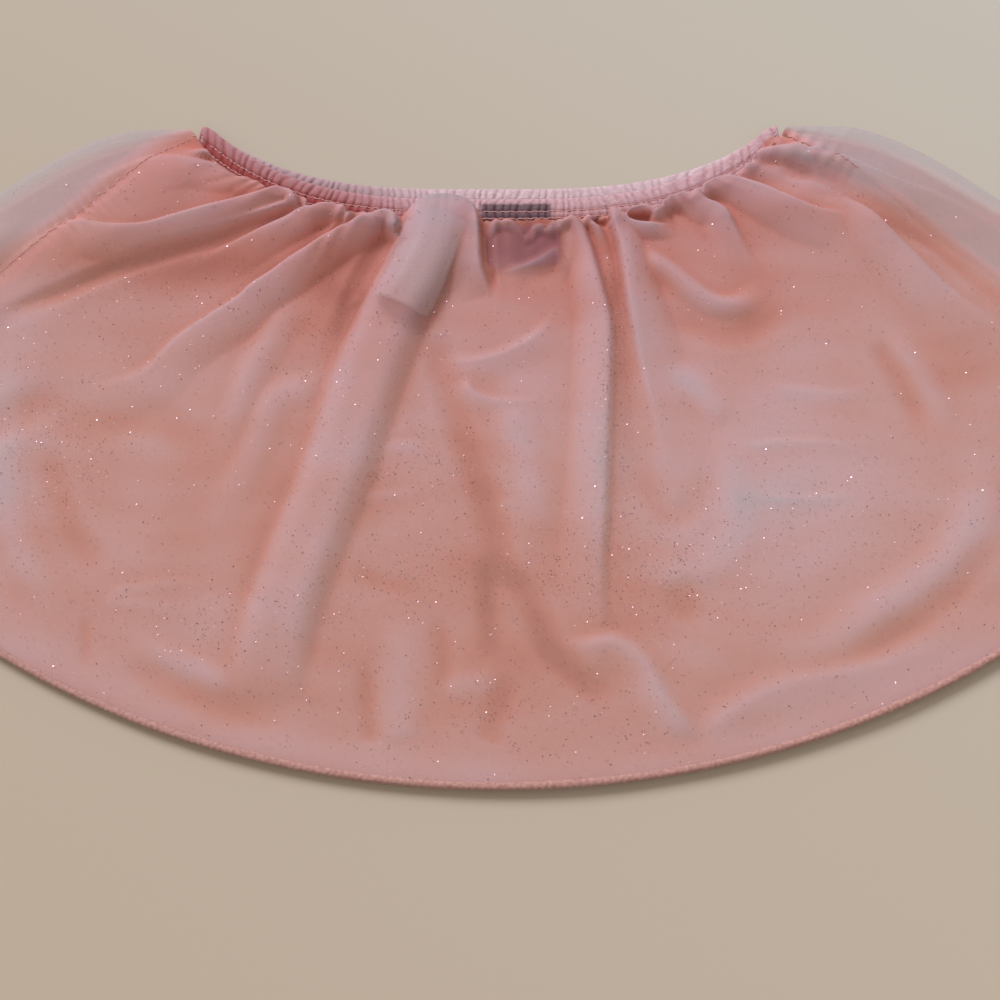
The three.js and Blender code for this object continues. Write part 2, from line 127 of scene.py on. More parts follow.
# Folds of the back panel, from the waist outwards. Each is a name, the places its crest runs through, its
# height, its reach to the left and right of its run, how far its wider side spreads along the way, its
# section, and the shares of its length over which its two ends die away.
mainFolds = [
    ("care label puff", [(-25, 104), (-28, 93), (-32, 80), (-38, 66), (-47, 48), (-57, 16), (-65, -16),
     (-75, -47), (-84, -77), (-89, -104), (-91, -120)], 7.5, 19, 18, 0.8, "flat", 0, 0.22),
    ("care label edge", [(-12, 102), (-10, 90), (-9, 72), (-5, 58)], 6, 2.5, 16, 1, "lobe", 0, 0.4),
    ("middle pleat", [(28, 93), (32, 95), (35, 91), (37, 85), (39, 78), (41, 69), (43, 60), (45, 50),
     (46, 38), (44, -2), (42, -36), (40, -61), (39, -90), (38, -110)], 6, 4, 6, 3.2, "lobe", 0, 0.3),
    ("middle hollow", [(52, 96), (52, 78), (53, 50), (54, 20), (54, -10), (53, -38)], -0.6, 5, 5, 1.5,
     "round", 0.1, 0.4),
    ("right branch", [(50, 100), (51, 93), (53, 84), (54, 77), (55, 67), (56, 56), (58, 43), (62, 18),
     (67, -8), (70, -22)], 6, 7.5, 3.5, 2.9, "lobe", 0, 0.45),
    ("right fork", [(57, 83), (66, 77), (75, 70), (82, 63), (89, 57), (96, 54), (104, 55), (111, 60),
     (116, 67)], 3.4, 7, 8, 1, "round", 0.2, 0.35),
    ("right tuck", [(70, 102), (73, 106), (77, 108), (82, 108.5), (87, 107), (92, 104), (96, 102),
     (100, 98), (102, 93), (106, 84), (110, 75), (114, 64)], 5.2, 3.6, 7, 2, "lobe", 0, 0.4),
    ("right sweep", [(87, 109), (91, 114), (97, 116), (104, 115.5), (110, 113), (116, 110), (124, 105),
     (134, 100), (141, 97.5), (149, 96), (158, 91), (168, 80), (178, 64)], 6, 4, 8, 2.6, "lobe", 0, 0.6),
    ("right side ridge", [(138, 101), (148, 102), (156, 100), (162, 95), (169, 86), (178, 75), (187, 64),
     (198, 53), (213, 40), (228, 18), (238, -8)], 4.5, 5, 9, 2.8, "lobe", 0.35, 0.5),
    ("red hollow", [(124, 121), (141, 119), (156, 111), (174, 95), (193, 81), (217, 54), (230, 36)], -3.4,
     7, 7, 1.2, "round", 0.15, 0.4),
    ("right shoulder", [(111, 123), (115, 128), (120, 131), (127, 132), (133, 132), (139, 130), (147, 126),
     (154, 123), (161, 119), (178, 110), (196, 102), (212, 91), (228, 72), (240, 52)], 4.8, 3.2, 7, 2,
     "lobe", 0, 0.45),
    ("left top fold", [(-107, 115), (-112, 118), (-117, 121), (-124, 122.5), (-131, 124), (-137, 125.5),
     (-144, 126), (-157, 123), (-176, 113), (-188, 108)], 3.2, 10, 4, 2, "lobe", 0, 0.5),
    ("left shoulder", [(-91, 106), (-93, 109), (-96, 110.5), (-101, 110), (-108, 107.5), (-116, 104),
     (-129, 99), (-142, 94), (-157, 89), (-173, 89), (-188, 91), (-204, 80), (-217, 69)], 6, 6, 3.4, 3.1,
     "lobe", 0, 0.35),
    ("left hollow", [(-90, 101), (-109, 95), (-127, 87), (-157, 77), (-198, 57), (-218, 46)], -3, 5, 3.5, 2,
     "round", 0.1, 0.3),
    ("left tuck", [(-67, 99), (-70, 101), (-74, 102), (-79, 102), (-85, 101), (-91, 98), (-99, 94),
     (-109, 88), (-119, 82), (-130, 75), (-142, 68)], 5.5, 7, 3.4, 2.3, "lobe", 0, 0.5),
    ("left sweep", [(-46, 92), (-47, 96), (-50, 98), (-55, 97), (-61, 95), (-67, 91), (-74, 87), (-83, 80),
     (-91, 74), (-99, 67), (-107, 61), (-114, 54), (-137, 37), (-150, 22), (-166, 15), (-176, 14)], 6.8, 8,
     3.8, 2.4, "lobe", 0, 0.4),
    ("left trough", [(-47, 91), (-53, 84), (-58, 73), (-63, 58), (-68, 42), (-76, 20)], -3, 6, 6, 1.5,
     "round", 0.1, 0.4),
    ("lower fork", [(22, -95), (34, -96), (45, -95), (56, -103), (63, -117), (71, -128), (76, -134)], 3.8,
     7, 16, 1, "sharp", 0.25, 0.25),
    ("lower sweep", [(76, -132), (91, -121), (110, -112), (139, -106), (167, -98), (197, -86)], 2.6, 11, 18,
     1, "sharp", 0.15, 0.45),
    ("right arc", [(200, 2), (196, -35), (181, -60), (157, -78), (127, -96), (101, -107)], 2, 14, 13, 1,
     "round", 0.3, 0.3),
    ("left side fold", [(-206, 96), (-240, 55), (-262, -8)], 4, 10, 12, 1, "round", 0.3, 0.3),
    ("left side dip", [(-178, 18), (-222, -15), (-246, -60)], -2, 12, 12, 1, "round", 0.3, 0.2),
    ("right side fold", [(224, 86), (257, 42), (268, -16)], 3.5, 10, 10, 1, "round", 0.3, 0.3),
]
# Finer creases, and the finger-like ends of the gathers at the casing
fineFolds = [
    ("left small finger", [(-86, 105), (-89, 107.5), (-92, 106), (-97, 103.5), (-105, 100), (-116, 95),
     (-130, 90), (-141, 87), (-152, 83)], 3.8, 5, 3, 1.8, "lobe", 0, 0.5),
    ("left twin finger", [(-58, 97), (-61, 99), (-65, 98), (-71, 95), (-77, 91), (-86, 86)], 2.8, 4, 2.6,
     1.5, "lobe", 0, 0.6),
    ("left inner ridge", [(-84, 60), (-92, 50), (-100, 34), (-106, 22), (-112, -4), (-114, -18)], 2, 11, 9,
     1, "round", 0.35, 0.4),
    ("hooked ridge", [(-74, 13), (-82, 14), (-91, 12), (-97, 5), (-103, -16), (-113, -41), (-123, -60)],
     1.8, 11, 10, 1, "round", 0.25, 0.45),
    ("left wide dip", [(-198, 4), (-170, -3), (-141, -1), (-118, -22)], -1.2, 13, 12, 1, "round", 0.3, 0.3),
    ("left edge ridge", [(-211, 36), (-206, -10), (-203, -36), (-191, -62), (-171, -85)], 1.4, 12, 11, 1,
     "round", 0.2, 0.2),
    ("left edge dip", [(-191, -9), (-174, -47), (-158, -66)], -1, 9, 9, 1, "round", 0.3, 0.3),
    ("left low ridge", [(-148, -95), (-119, -105), (-102, -115)], 1.4, 8, 10, 1, "round", 0.3, 0.3),
    ("left low pocket", [(-146, -101), (-131, -111), (-104, -121), (-77, -125)], -1.3, 10, 9, 1, "round",
     0.3, 0.3),
    ("left fan upper", [(-157, -76), (-134, -71), (-111, -71)], 0.7, 4, 8, 1, "sharp", 0.2, 0.5),
    ("left fan lower", [(-159, -78), (-142, -79), (-116, -84)], 0.6, 4, 8, 1, "sharp", 0.2, 0.5),
    ("left fan stem", [(-164, -83), (-162, -106)], -0.5, 4, 4, 1, "round", 0.3, 0.3),
    ("warm band", [(-28, 41), (-24, 24), (-15, -9), (-6, -34), (0, -62), (-3, -100)], -1.6, 9, 9, 1.2,
     "round", 0.2, 0.3),
    ("middle arc", [(-27, 28), (-14, 27), (-2, 29), (12, 36), (20, 44), (25, 53)], 1.7, 5, 12, 1, "sharp",
     0.35, 0.4),
    ("middle arc lower", [(-15, 20), (-12, 13), (-4, 9), (8, 8), (22, 9)], 1.6, 4, 10, 1, "sharp", 0.2,
     0.4),
    ("middle arc low", [(-2, -38), (9, -36), (22, -37)], 0.7, 4, 8, 1, "sharp", 0.3, 0.4),
    ("middle column", [(-3, 16), (5, 0), (10, -16), (13, -36), (14, -56)], 1.4, 13, 13, 1, "round", 0.3,
     0.3),
    ("label wrinkle", [(0, 69), (9, 72), (17, 76), (24, 81), (29, 83)], 2, 4, 9, 1, "sharp", 0.25, 0.35),
    ("label right edge", [(23, 93), (27, 95), (29, 92), (31, 86), (31, 78), (29, 70), (26, 64)], 3.4, 3, 6,
     1, "lobe", 0, 0.45),
    ("label finger left", [(-6, 90), (-3, 94), (2, 95), (6, 94), (10, 89), (11, 84)], 2.2, 2.8, 4, 1,
     "lobe", 0, 0.4),
    ("label finger right", [(12, 88), (15, 92), (19, 93), (23, 93)], 2.2, 2.8, 4, 1, "lobe", 0, 0.4),
    ("left ear", [(-122, 123), (-127, 128), (-132, 131), (-139, 130), (-148, 128)], 3, 3, 4, 1, "round",
     0.1, 0.5),
    ("second pocket", [(41, 97), (45, 95), (49, 97)], -2.4, 2.5, 3, 1, "round", 0.1, 0.1),
    ("label notch", [(12, 98), (12.5, 90), (13, 82)], -2, 3, 3, 1, "round", 0, 0.5),
    ("care label dark edge", [(-6.5, 93), (-6, 80), (-4, 70), (-1, 58)], -3, 3, 3, 1, "round", 0, 0.5),
    ("second finger", [(37, 94), (39, 97), (42, 94), (44, 91), (46, 86), (48, 80)], 3.2, 2.8, 3.5, 1.4,
     "lobe", 0, 0.5),
    ("loop upper", [(55, 98), (58, 101), (62, 103), (66, 102.5), (71, 99.5), (77, 94)], 3.4, 2.8, 3.8, 1,
     "lobe", 0, 0.3),
    ("loop lower", [(50, 100), (52, 98), (55, 96), (60, 94), (66, 93), (72, 93), (77, 95)], 4, 3, 6.5, 1,
     "lobe", 0, 0.35),
    ("loop pocket", [(56, 99), (62, 98.5), (68, 97)], -2.6, 2.8, 2.8, 1, "round", 0.2, 0.2),
    ("right small shoulder", [(103, 115), (106, 119), (109, 121), (114, 123), (121, 123), (129, 121.5),
     (138, 118)], 3.2, 3, 6, 1.8, "lobe", 0, 0.6),
    ("branch column", [(60, 80), (61, 66), (64, 46), (68, 30), (73, 10)], 1.4, 8, 7, 1, "round", 0.3, 0.4),
    ("fork hollow", [(72, 56), (82, 46), (96, 40), (112, 44), (126, 52)], -1.4, 9, 10, 1, "round", 0.3,
     0.3),
    ("cup hollow", [(61, 20), (59, -2), (59, -20), (63, -36), (72, -42), (82, -34), (87, -18), (90, 2)], -1,
     9, 9, 1, "round", 0.3, 0.4),
    ("cup filling", [(64, 24), (76, 20), (88, 8), (95, -2)], 1.4, 10, 9, 1, "round", 0.3, 0.3),
    ("cup rim", [(49, -45), (54, -60), (71, -66), (89, -60), (99, -41), (94, -16), (91, -2)], 1, 12, 12, 1,
     "round", 0.35, 0.35),
    ("cup foot", [(71, -68), (74, -78), (70, -88)], -0.9, 11, 11, 1, "round", 0.3, 0.3),
    ("lower trough", [(-6, -59), (-5, -80), (-3, -103)], -1, 7, 7, 1, "round", 0.3, 0.3),
    ("fork trough", [(0, -62), (11, -77), (20, -98), (34, -112), (46, -122)], -1.6, 9, 8, 1, "round", 0.2,
     0.3),
    ("right arc dip", [(134, -103), (156, -90), (181, -73), (202, -48)], -1.1, 9, 9, 1, "round", 0.3, 0.3),
    ("right stripe", [(160, 37), (170, 17), (179, -9)], -1.3, 6, 8, 1, "round", 0.25, 0.35),
    ("right stripe ridge", [(166, 42), (178, 20), (188, -6)], 1, 9, 6, 1, "round", 0.3, 0.3),
    ("hem column", [(-37, -75), (-39, -95), (-39, -115), (-37, -134)], 1, 13, 13, 1, "round", 0.4, 0.1),
    ("hem column left", [(-53, -100), (-51, -120), (-49, -134)], -0.9, 6, 6, 1, "round", 0.3, 0.1),
    ("hem column right", [(-25, -83), (-22, -100), (-23, -122)], -0.9, 6, 7, 1, "round", 0.3, 0.3),
    ("hem shelf", [(-28, -113), (-14, -112), (2, -109)], 0.8, 8, 8, 1, "round", 0.3, 0.3),
    ("hem dip", [(3, -106), (-1, -122), (-5, -134)], -0.9, 9, 8, 1, "round", 0.3, 0.1),
    ("left streak", [(-70, -3), (-52, -6), (-36, -5)], 0.7, 3, 6, 1, "sharp", 0.3, 0.4),
    ("left low streak", [(-72, -30), (-50, -33), (-26, -31)], 0.6, 3, 6, 1, "sharp", 0.3, 0.4),
    ("right streak", [(96, -12), (124, -10), (158, -12)], 0.8, 3, 7, 1, "sharp", 0.3, 0.4),
    ("right low streak", [(88, -34), (122, -36), (150, -32)], 0.7, 4, 7, 1, "sharp", 0.3, 0.4),
    ("right upper streak", [(112, 16), (136, 12), (160, 14)], 0.7, 4, 8, 1, "sharp", 0.3, 0.4),
    ("short crease upper", [(-59, -13), (-42, -11), (-27, -13)], 0.6, 4, 8, 1, "round", 0.35, 0.4),
    ("short crease lower", [(-60, -65), (-46, -71), (-26, -74)], -0.6, 6, 6, 1, "round", 0.3, 0.4),
]
foldSteps = 6


# A smooth run through the places, foldSteps between each two
def routeThrough(places):
    points = np.array([places[0]] + list(places) + [places[-1]], float)
    run = []
    for k in range(1, len(points) - 2):
        a, b, c, d = points[k - 1:k + 3]
        for t in np.arange(foldSteps) / foldSteps:
            run.append(0.5 * (2 * b + (c - a) * t + (2 * a - 5 * b + 4 * c - d) * t ** 2
                              + (3 * b - a - 3 * c + d) * t ** 3))
    return np.array(run + [points[-2]])


# Height that one fold adds at the places, which are rows of x and y
def foldLift(fold, places):
    name, route, height, leftReach, rightReach, spread, section, startFade, endFade = fold
    run = routeThrough(route)
    reach = max(leftReach, rightReach) * max(spread, 1)
    near = np.all((places > run.min(axis=0) - reach) & (places < run.max(axis=0) + reach), axis=1)
    lift = np.zeros(len(places))
    spots = places[near]
    if not len(spots):
        return lift
    best = np.full(len(spots), 1e9)
    share = np.zeros(len(spots))
    onLeft = np.zeros(len(spots), bool)
    for k in range(len(run) - 1):
        step = run[k + 1] - run[k]
        gone = spots - run[k]
        along = np.clip(gone @ step / (step @ step), 0, 1)
        gap = np.linalg.norm(gone - along[:, None] * step, axis=1)
        closer = gap < best
        best = np.where(closer, gap, best)
        share = np.where(closer, (k + along) / (len(run) - 1), share)
        onLeft = np.where(closer, step[0] * gone[:, 1] - step[1] * gone[:, 0] > 0, onLeft)
    grown = 1 + (spread - 1) * share
    left = leftReach * (grown if leftReach >= rightReach else 1)
    right = rightReach * (grown if rightReach >= leftReach else 1)
    t = np.clip(best / np.where(onLeft, left, right), 0, 1)
    body = {
        "round": (1 - t ** 2) ** 2,
        "flat": (1 - t ** 4) ** 2,
        "sharp": 0.35 * (1 - t ** 2) ** 2 + 0.65 * (1 - t) ** 2,
        "lobe": np.where(onLeft == (leftReach > rightReach), 1 - t ** 1.7, (1 - t ** 2) ** 2),
    }[section]
    start = smooth(share, 0, startFade) if startFade > 0 else 1
    lift[near] = height * body * start * (1 - smooth(share, 1 - endFade, 1))
    return lift


# Heights of the middle of each layer, as the solids have them
level = {
    "front": 0.6,
    "back": 2.1,
    "casingBase": 2.7,
    "casingThick": 2.4,
    "backSeam": 3.9,
    "airLift": 2.4,
    "puffLift": 6.5,
    "hemLift": 1.2,
    "cornerLift": 1.3,
    "gatherCount": 44,
    "gatherHeight": 0.8,
    "gatherReach": 11,
    "seamDip": 0.8,
    "seamPucker": 0.8,
    "puckerSpacing": 5.2,
    "puckerReach": 6.5,
    "underRelief": 0.8,
}
# Labels inside the back panel: middle of the lower edge, turn from upright, size, sideways bend of the top
labels = {
    "care": {"x": -44, "y": 53, "turn": math.radians(-25), "width": 27, "length": 49, "bend": -4},
    "size": {"x": 11, "y": 74, "turn": math.radians(3), "width": 33, "length": 21, "bend": 0},
    "lift": 2.4,
    "margin": 9,
    "drop": 1.35,
    "thick": 0.26,
    "cornerRadius": 3.5,
    "lowest": 2.0,
    "clearance": 3,
}


def gatherLift(u, v):
    turns = level["gatherCount"] / 2 * u + 0.5 * np.sin(7 * u) + 0.3 * np.sin(17 * u + 1) + 0.2 * np.sin(41 * u)
    fade = np.exp(-v * plan["length"] / (level["gatherReach"] * (1 + 0.5 * np.sin(13 * u + 2))))
    dome = 1 - 0.85 * np.exp(-((u + 0.165) / 0.13) ** 4)
    return level["gatherHeight"] * np.cos(2 * np.pi * turns) * (0.65 + 0.35 * np.sin(23 * u)) * fade * dome


def labelAxes(label):
    across = np.array([math.cos(label["turn"]), math.sin(label["turn"])])
    return across, np.array([-across[1], across[0]])


def labelPush(places):
    push = np.zeros(len(places))
    for label in (labels["care"], labels["size"]):
        across, up = labelAxes(label)
        gone = places - np.array([label["x"], label["y"]])
        rise = gone @ up
        sway = label["bend"] * np.clip(rise / label["length"], 0, 1) ** 2
        aside = np.abs(gone @ across - sway) - label["width"] / 2
        beyond = np.abs(rise - label["length"] / 2) - label["length"] / 2
        off = np.maximum(np.maximum(aside, beyond), 0)
        push = np.maximum(push, labels["lift"] * (1 - smooth(off, 0, labels["margin"])))
    return push


# Soft uneven ripples of a light cloth that has been handled, in a few directions and sizes
def ripples(x, y):
    waves = 0.42 * np.sin(x / 19 + 1.3 * np.sin(y / 41) + 0.4) * np.sin(y / 27 + 1.1 * np.sin(x / 53))
    waves += 0.20 * np.sin((x + 0.6 * y) / 8.5 + 1.7 * np.sin(x / 33 - y / 21))
    waves += 0.10 * np.sin((0.4 * x - y) / 5.2 + 1.9 * np.sin(x / 17 + y / 29))
    return waves


# The stitched side seams draw the cloth down into a puckered line
def seamLift(u, v):
    lift = 0
    for side in (-1, 1):
        gap = np.abs(seamU(side, v) - u) * sideSpan(side, v)
        along = v * plan["length"]
        turns = along / level["puckerSpacing"] + 0.4 * np.sin(along / 13) + 0.3 * np.sin(along / 7.7 + side)
        pucker = level["seamPucker"] * np.sin(2 * np.pi * turns) * (0.6 + 0.4 * np.sin(along / 21 + 2 * side))
        fade = np.exp(-gap / level["puckerReach"]) * (1 - 0.75 * smooth(along, 60, 170))
        clear = smooth(along, 30, 44) * (1 - smooth(along, 70, 100))
        shown = 0.3 + 0.7 * clear if side < 0 else 1 - smooth(along, 24, 44)
        lift = lift + shown * (pucker * fade - level["seamDip"] * np.exp(-(gap / 2.6) ** 2))
    return lift


# How far the fingers of cloth bulge over the lower edge of the casing: place along x, half width, amount
overhangs = [
    (-110, 7, 4), (-97, 6, 5.5), (-89, 4, 4.5), (-74, 7, 5), (-61, 5, 4), (-50, 6, 4.5),
    (-26, 19, 12.5), (1, 7, 4), (18, 6, 4), (31, 6, 4), (40, 4, 4), (51, 3.5, 4.5),
    (63, 8, 5), (80, 9, 5.5), (97, 8, 6), (109, 5, 5), (119, 7, 5.5),
]


# The place of the cloth in plan, with its fingers bulged back over the casing
def clothPoint(u, v):
    u, v = np.broadcast_arrays(np.asarray(u, float), np.asarray(v, float))
    x = plan["waistMiddleX"] + plan["waistHalfWidth"] * u
    amount = 0
    for middle, halfWidth, most in overhangs:
        amount = np.maximum(amount, most * np.sqrt(np.clip(1 - ((x - middle) / halfWidth) ** 2, 0, 1)))
    amount = amount * smooth(v, 0, 0.012) * (1 - smooth(v, 0.02, 0.11))
    place = planPoint(u, v)
    back = unit(place - planPoint(u, v + 0.01))
    return place + back * amount[..., None]


def backHeight(u, v):
    u, v = np.broadcast_arrays(np.asarray(u, float), np.asarray(v, float))
    places = clothPoint(u, v).reshape(-1, 2)
    across = u.ravel()
    aside = np.abs(across)
    v = v.ravel()
    lift = level["airLift"] * (1 - 0.7 * smooth(v, 0.8, 1))
    puffAlong = smooth(v, 0, 0.12) * (1 - smooth(v, 0.25, 0.85))
    lift = lift + level["puffLift"] * smooth(aside, 0.6, 0.95) * puffAlong
    ridges = 0
    for fold in mainFolds + fineFolds:
        part = foldLift(fold, places)
        ridges = ridges + np.maximum(part, 0) ** 5
        lift = lift + np.minimum(part, 0)
    lift = lift + ridges ** 0.2
    lift = lift + ripples(places[:, 0], places[:, 1]) * smooth(v, 0.02, 0.1)
    lift = lift + seamLift(across, v) * smooth(v, 0, 0.04)
    lift = (lift + np.hypot(lift, 0.8)) / 2
    edge = level["hemLift"] + level["cornerLift"] * smooth(aside, 0.8, 0.97)
    nearHem = smooth(v, 0.93, 0.985)
    lift = lift * (1 - nearHem) + (edge + 0.25 * lift) * nearHem
    fromSeam = smooth(v, -0.004, 0.013)
    seam = level["backSeam"] - level["back"]
    loose = seam * (1 - fromSeam) + lift * fromSeam + gatherLift(across, v)
    return (level["back"] + np.maximum(loose, labelPush(places))).reshape(u.shape)


# Soft patches of painted light and shade, which the folds don't give by themselves: deeper (less), painted
# shade that partly stands where the layers cling together, and paler (more), painted light. Each is a name, the
# middle, the half sizes and how much.
paintedLightAndShadePatches = [
    ("middle", 0, 8, 50, 46, 0.16),
    ("right field", 118, -22, 70, 46, 0.32),
    ("upper right", 150, 66, 44, 30, 0.16),
    ("left low", -118, -88, 44, 20, 0.14),
    ("left field", -140, 12, 60, 34, 0.06),
    ("below the right pleat", 48, -66, 46, 22, -0.14),
    ("right of the pleat", 54, 30, 8, 62, 0.04),
    ("beside the care label", -72, 62, 12, 26, -0.22),
    ("under the right tuck", 112, 60, 26, 20, -0.16),
    ("under the side ridge", 190, 28, 26, 34, -0.14),
    ("warm band", -8, -34, 12, 60, -0.16),
    ("left of the puff", -96, -58, 16, 44, -0.10),
    ("lower middle", 14, -108, 40, 22, -0.12),
    ("left hollow", -150, 76, 60, 13, -0.34),
    ("size label", 12, 84, 24, 14, -0.30),
    ("left edge", -206, -10, 16, 60, 0.26),
    ("right hollow", 182, 92, 46, 14, -0.26),
    ("under the right sweep", 150, 62, 30, 16, -0.14),
    ("dome over the care label", -27, 99, 17, 14, 0.28),
    ("upper puff", -52, 24, 13, 32, -0.10),
    ("lower puff", -76, -44, 13, 34, -0.08),
    ("pleat edge", 45, 28, 6, 46, -0.12),
    ("right low field", 112, -60, 44, 24, 0.10),
    ("left pillow", -118, 114, 22, 11, -0.16),
    ("bright patch", 80, 20, 13, 11, 0.24),
    ("above the lower fork", 68, -52, 22, 16, 0.12),
    ("right outer shoulder", 158, 132, 34, 14, 0.3),
]


# Evens a grid out over a few cells each way
def blurred(grid, cells):
    for axis in (0, 1):
        for turn in range(2):
            ends = [(cells, cells) if k == axis else (0, 0) for k in range(2)]
            total = np.cumsum(np.pad(grid, ends, mode="edge"), axis=axis)
            total = np.insert(total, 0, 0, axis=axis)
            window = 2 * cells + 1
            size = grid.shape[axis]
            late = np.take(total, np.arange(window, window + size), axis=axis)
            early = np.take(total, np.arange(size), axis=axis)
            grid = (late - early) / window
    return grid


tones = {
    "base": 0.42,
    "perLift": 0.030,
    "flatLift": 4.6,
    "highest": 7.6,
    # Painted shade and highlight: places below the blurred surface around them darker, places above it paler
    "perReliefShade": 0.09,
    "reliefShadeLimit": 0.2,
    # Painted highlight on the crests of the folds and painted shade in their hollows
    "perCrestLightAndHollowShade": 0.11,
    "cloud": 0.05,
    "streak": 0.045,
    "nearHem": 0.2,
    "underside": 0.12,
    "undersideHeight": 2,
    # The side folds painted pale lavender: painted sheen where the cloth curves away
    "sideSheenPaint": (0.6, 0.66),
    "sideWidth": (18, 42),
}


# The uv place of each point of a plan
def clothPlace(places):
    u = np.zeros(len(places))
    v = np.full(len(places), 0.5)
    probe = 0.001
    for step in range(10):
        here = clothPoint(u, v)
        alongU = (planPoint(u + probe, v) - planPoint(u, v)) / probe
        alongV = (clothPoint(u, v + probe) - here) / probe
        miss = places - here
        area = alongU[:, 0] * alongV[:, 1] - alongU[:, 1] * alongV[:, 0]
        u = np.clip(u + (miss[:, 0] * alongV[:, 1] - miss[:, 1] * alongV[:, 0]) / area, -1.1, 1.1)
        v = np.clip(v + (alongU[:, 0] * miss[:, 1] - alongU[:, 1] * miss[:, 0]) / area, 0.012, 1.02)
    return u, v


# The cloth stands off the table along its side folds: beyond the left seam, and in a band at the right
def sideShare(u, v):
    v = v[:, None]
    fromLeft = (1 + u) * sideSpan(-1, v)
    fromRight = (1 - u) * sideSpan(1, v)
    inset = (1 + seamU(-1, v)) * sideSpan(-1, v)
    near, far = tones["sideWidth"]
    band = (1 - smooth(fromRight, near, far)) * smooth(v, 0.03, 0.14)
    right = np.maximum(smooth(inset - fromRight, 0, 6), band)
    return np.maximum(smooth(inset - fromLeft, 0, 12), right) * (1 - smooth(v, 0.35, 0.75))


# How much each place belongs to the crest of a fold, or to the bottom of a hollow (less than nothing)
def crestShare(grid):
    places = grid[..., :2].reshape(-1, 2)
    crest = np.zeros(len(places))
    hollow = np.zeros(len(places))
    for fold in mainFolds + fineFolds:
        part = foldLift(fold, places) / abs(fold[2])
        crest = np.maximum(crest, np.maximum(part, 0) ** 2)
        hollow = np.minimum(hollow, part)
    return (crest + hollow).reshape(grid.shape[:2])


# How pale each place of a sheet is: paler with its height, crests painted paler and hollows and creases darker
# as painted highlight and shade, the patches of painted light and shade, random clouds and streaks, paler near
# the hem, and the side folds painted pale as painted sheen
def toneOf(grid, aside):
    x, y, z = grid[..., 0], grid[..., 1], grid[..., 2]
    # Painted shade where the cloth lies below its blurred surroundings, painted highlight where it stands above
    # them
    relief = tones["perReliefShade"] * (z - blurred(z, 5)) + 0.6 * tones["perReliefShade"] * (z - blurred(z, 2))
    tone = tones["base"] + tones["perLift"] * (np.minimum(z, tones["highest"]) - tones["flatLift"])
    tone = tone + np.clip(relief, -tones["reliefShadeLimit"], tones["reliefShadeLimit"])
    # Crests painted paler and hollows darker: painted highlight and shade
    tone = tone + tones["perCrestLightAndHollowShade"] * (crestShare(grid) - 0.35)
    # Painted light and shade in soft patches
    for name, *oval, amount in paintedLightAndShadePatches:
        tone = tone + amount * np.exp(-ovalOff(x, y, *oval))
    cloud = np.sin(x / 23 + 1.9 * np.sin(y / 31 + 1)) * np.sin(y / 17 + 1.6 * np.sin(x / 39))
    cloud = cloud + 0.6 * np.sin((x - y) / 11 + 2.1 * np.sin((x + y) / 27))
    streak = np.sin(y / 3.4 + 1.6 * np.sin(x / 29 + y / 37) + np.sin(x / 13))
    streak = streak * np.sin(x / 21 + 1.9 * np.sin(y / 13))
    tone = tone + tones["streak"] * streak
    fromMiddle = np.hypot(x, y - plan["hemCentreY"])
    tone = tone + tones["nearHem"] * smooth(fromMiddle, plan["hemRadius"] - 30, plan["hemRadius"] - 6)
    # Painted sheen: the side folds paler, towards the lavender top of the ramp
    pale = np.where(x < 0, tones["sideSheenPaint"][0], tones["sideSheenPaint"][1])
    return np.clip(tone + tones["cloud"] * cloud + pale * aside, 0, 1)


def linear(hexColour):
    parts = [int(hexColour[k:k + 2], 16) / 255 for k in (1, 3, 5)]
    return [c / 12.92 if c <= 0.04045 else ((c + 0.055) / 1.055) ** 2.4 for c in parts] + [1.0]


# Fields are values at the points, which a material reads by name
def newPiece(name, points, faces, material, fields=None):
    mesh = bpy.data.meshes.new(name)
    mesh.from_pydata((np.asarray(points, float) * mm).tolist(), [], faces)
    mesh.update()
    mesh.polygons.foreach_set("use_smooth", [True] * len(mesh.polygons))
    for field, values in (fields or {}).items():
        held = mesh.attributes.new(field, "FLOAT", "POINT").data
        held.foreach_set("value", np.asarray(values, float).ravel())
    piece = bpy.data.objects.new(name, mesh)
    scene.collection.objects.link(piece)
    piece.data.materials.append(material)
    return piece


def gridQuads(height, width):
    j, i = np.meshgrid(np.arange(height - 1), np.arange(width - 1), indexing="ij")
    a = (j * width + i).ravel()
    return np.stack([a, a + width, a + width + 1, a + 1], axis=1)


# Unit normals of a grid of points, upright along its rims
def gridNormals(grid):
    down = np.gradient(grid, axis=0)
    across = np.gradient(grid, axis=1)
    across[:, [0, -1], 2] = 0
    down[[0, -1], :, 2] = 0
    return unit(np.cross(down, across))


# A closed thin shell about a grid of points on its middle surface
def shellPiece(name, grid, thick, material):
    height, width = grid.shape[:2]
    offset = gridNormals(grid) * thick / 2
    points = np.concatenate([(grid + offset).reshape(-1, 3), (grid - offset).reshape(-1, 3)])
    under = height * width
    quads = gridQuads(height, width)
    faces = quads.tolist() + (quads[:, ::-1] + under).tolist()
    rim = list(range(width))
    rim += [(k + 1) * width - 1 for k in range(1, height)]
    rim += [height * width - 1 - k for k in range(1, width)]
    rim += [(height - 1 - k) * width for k in range(1, height - 1)]
    for here, there in zip(rim, rim[1:] + rim[:1]):
        faces.append([here, there, there + under, here + under])
    return newPiece(name, points, faces, material)


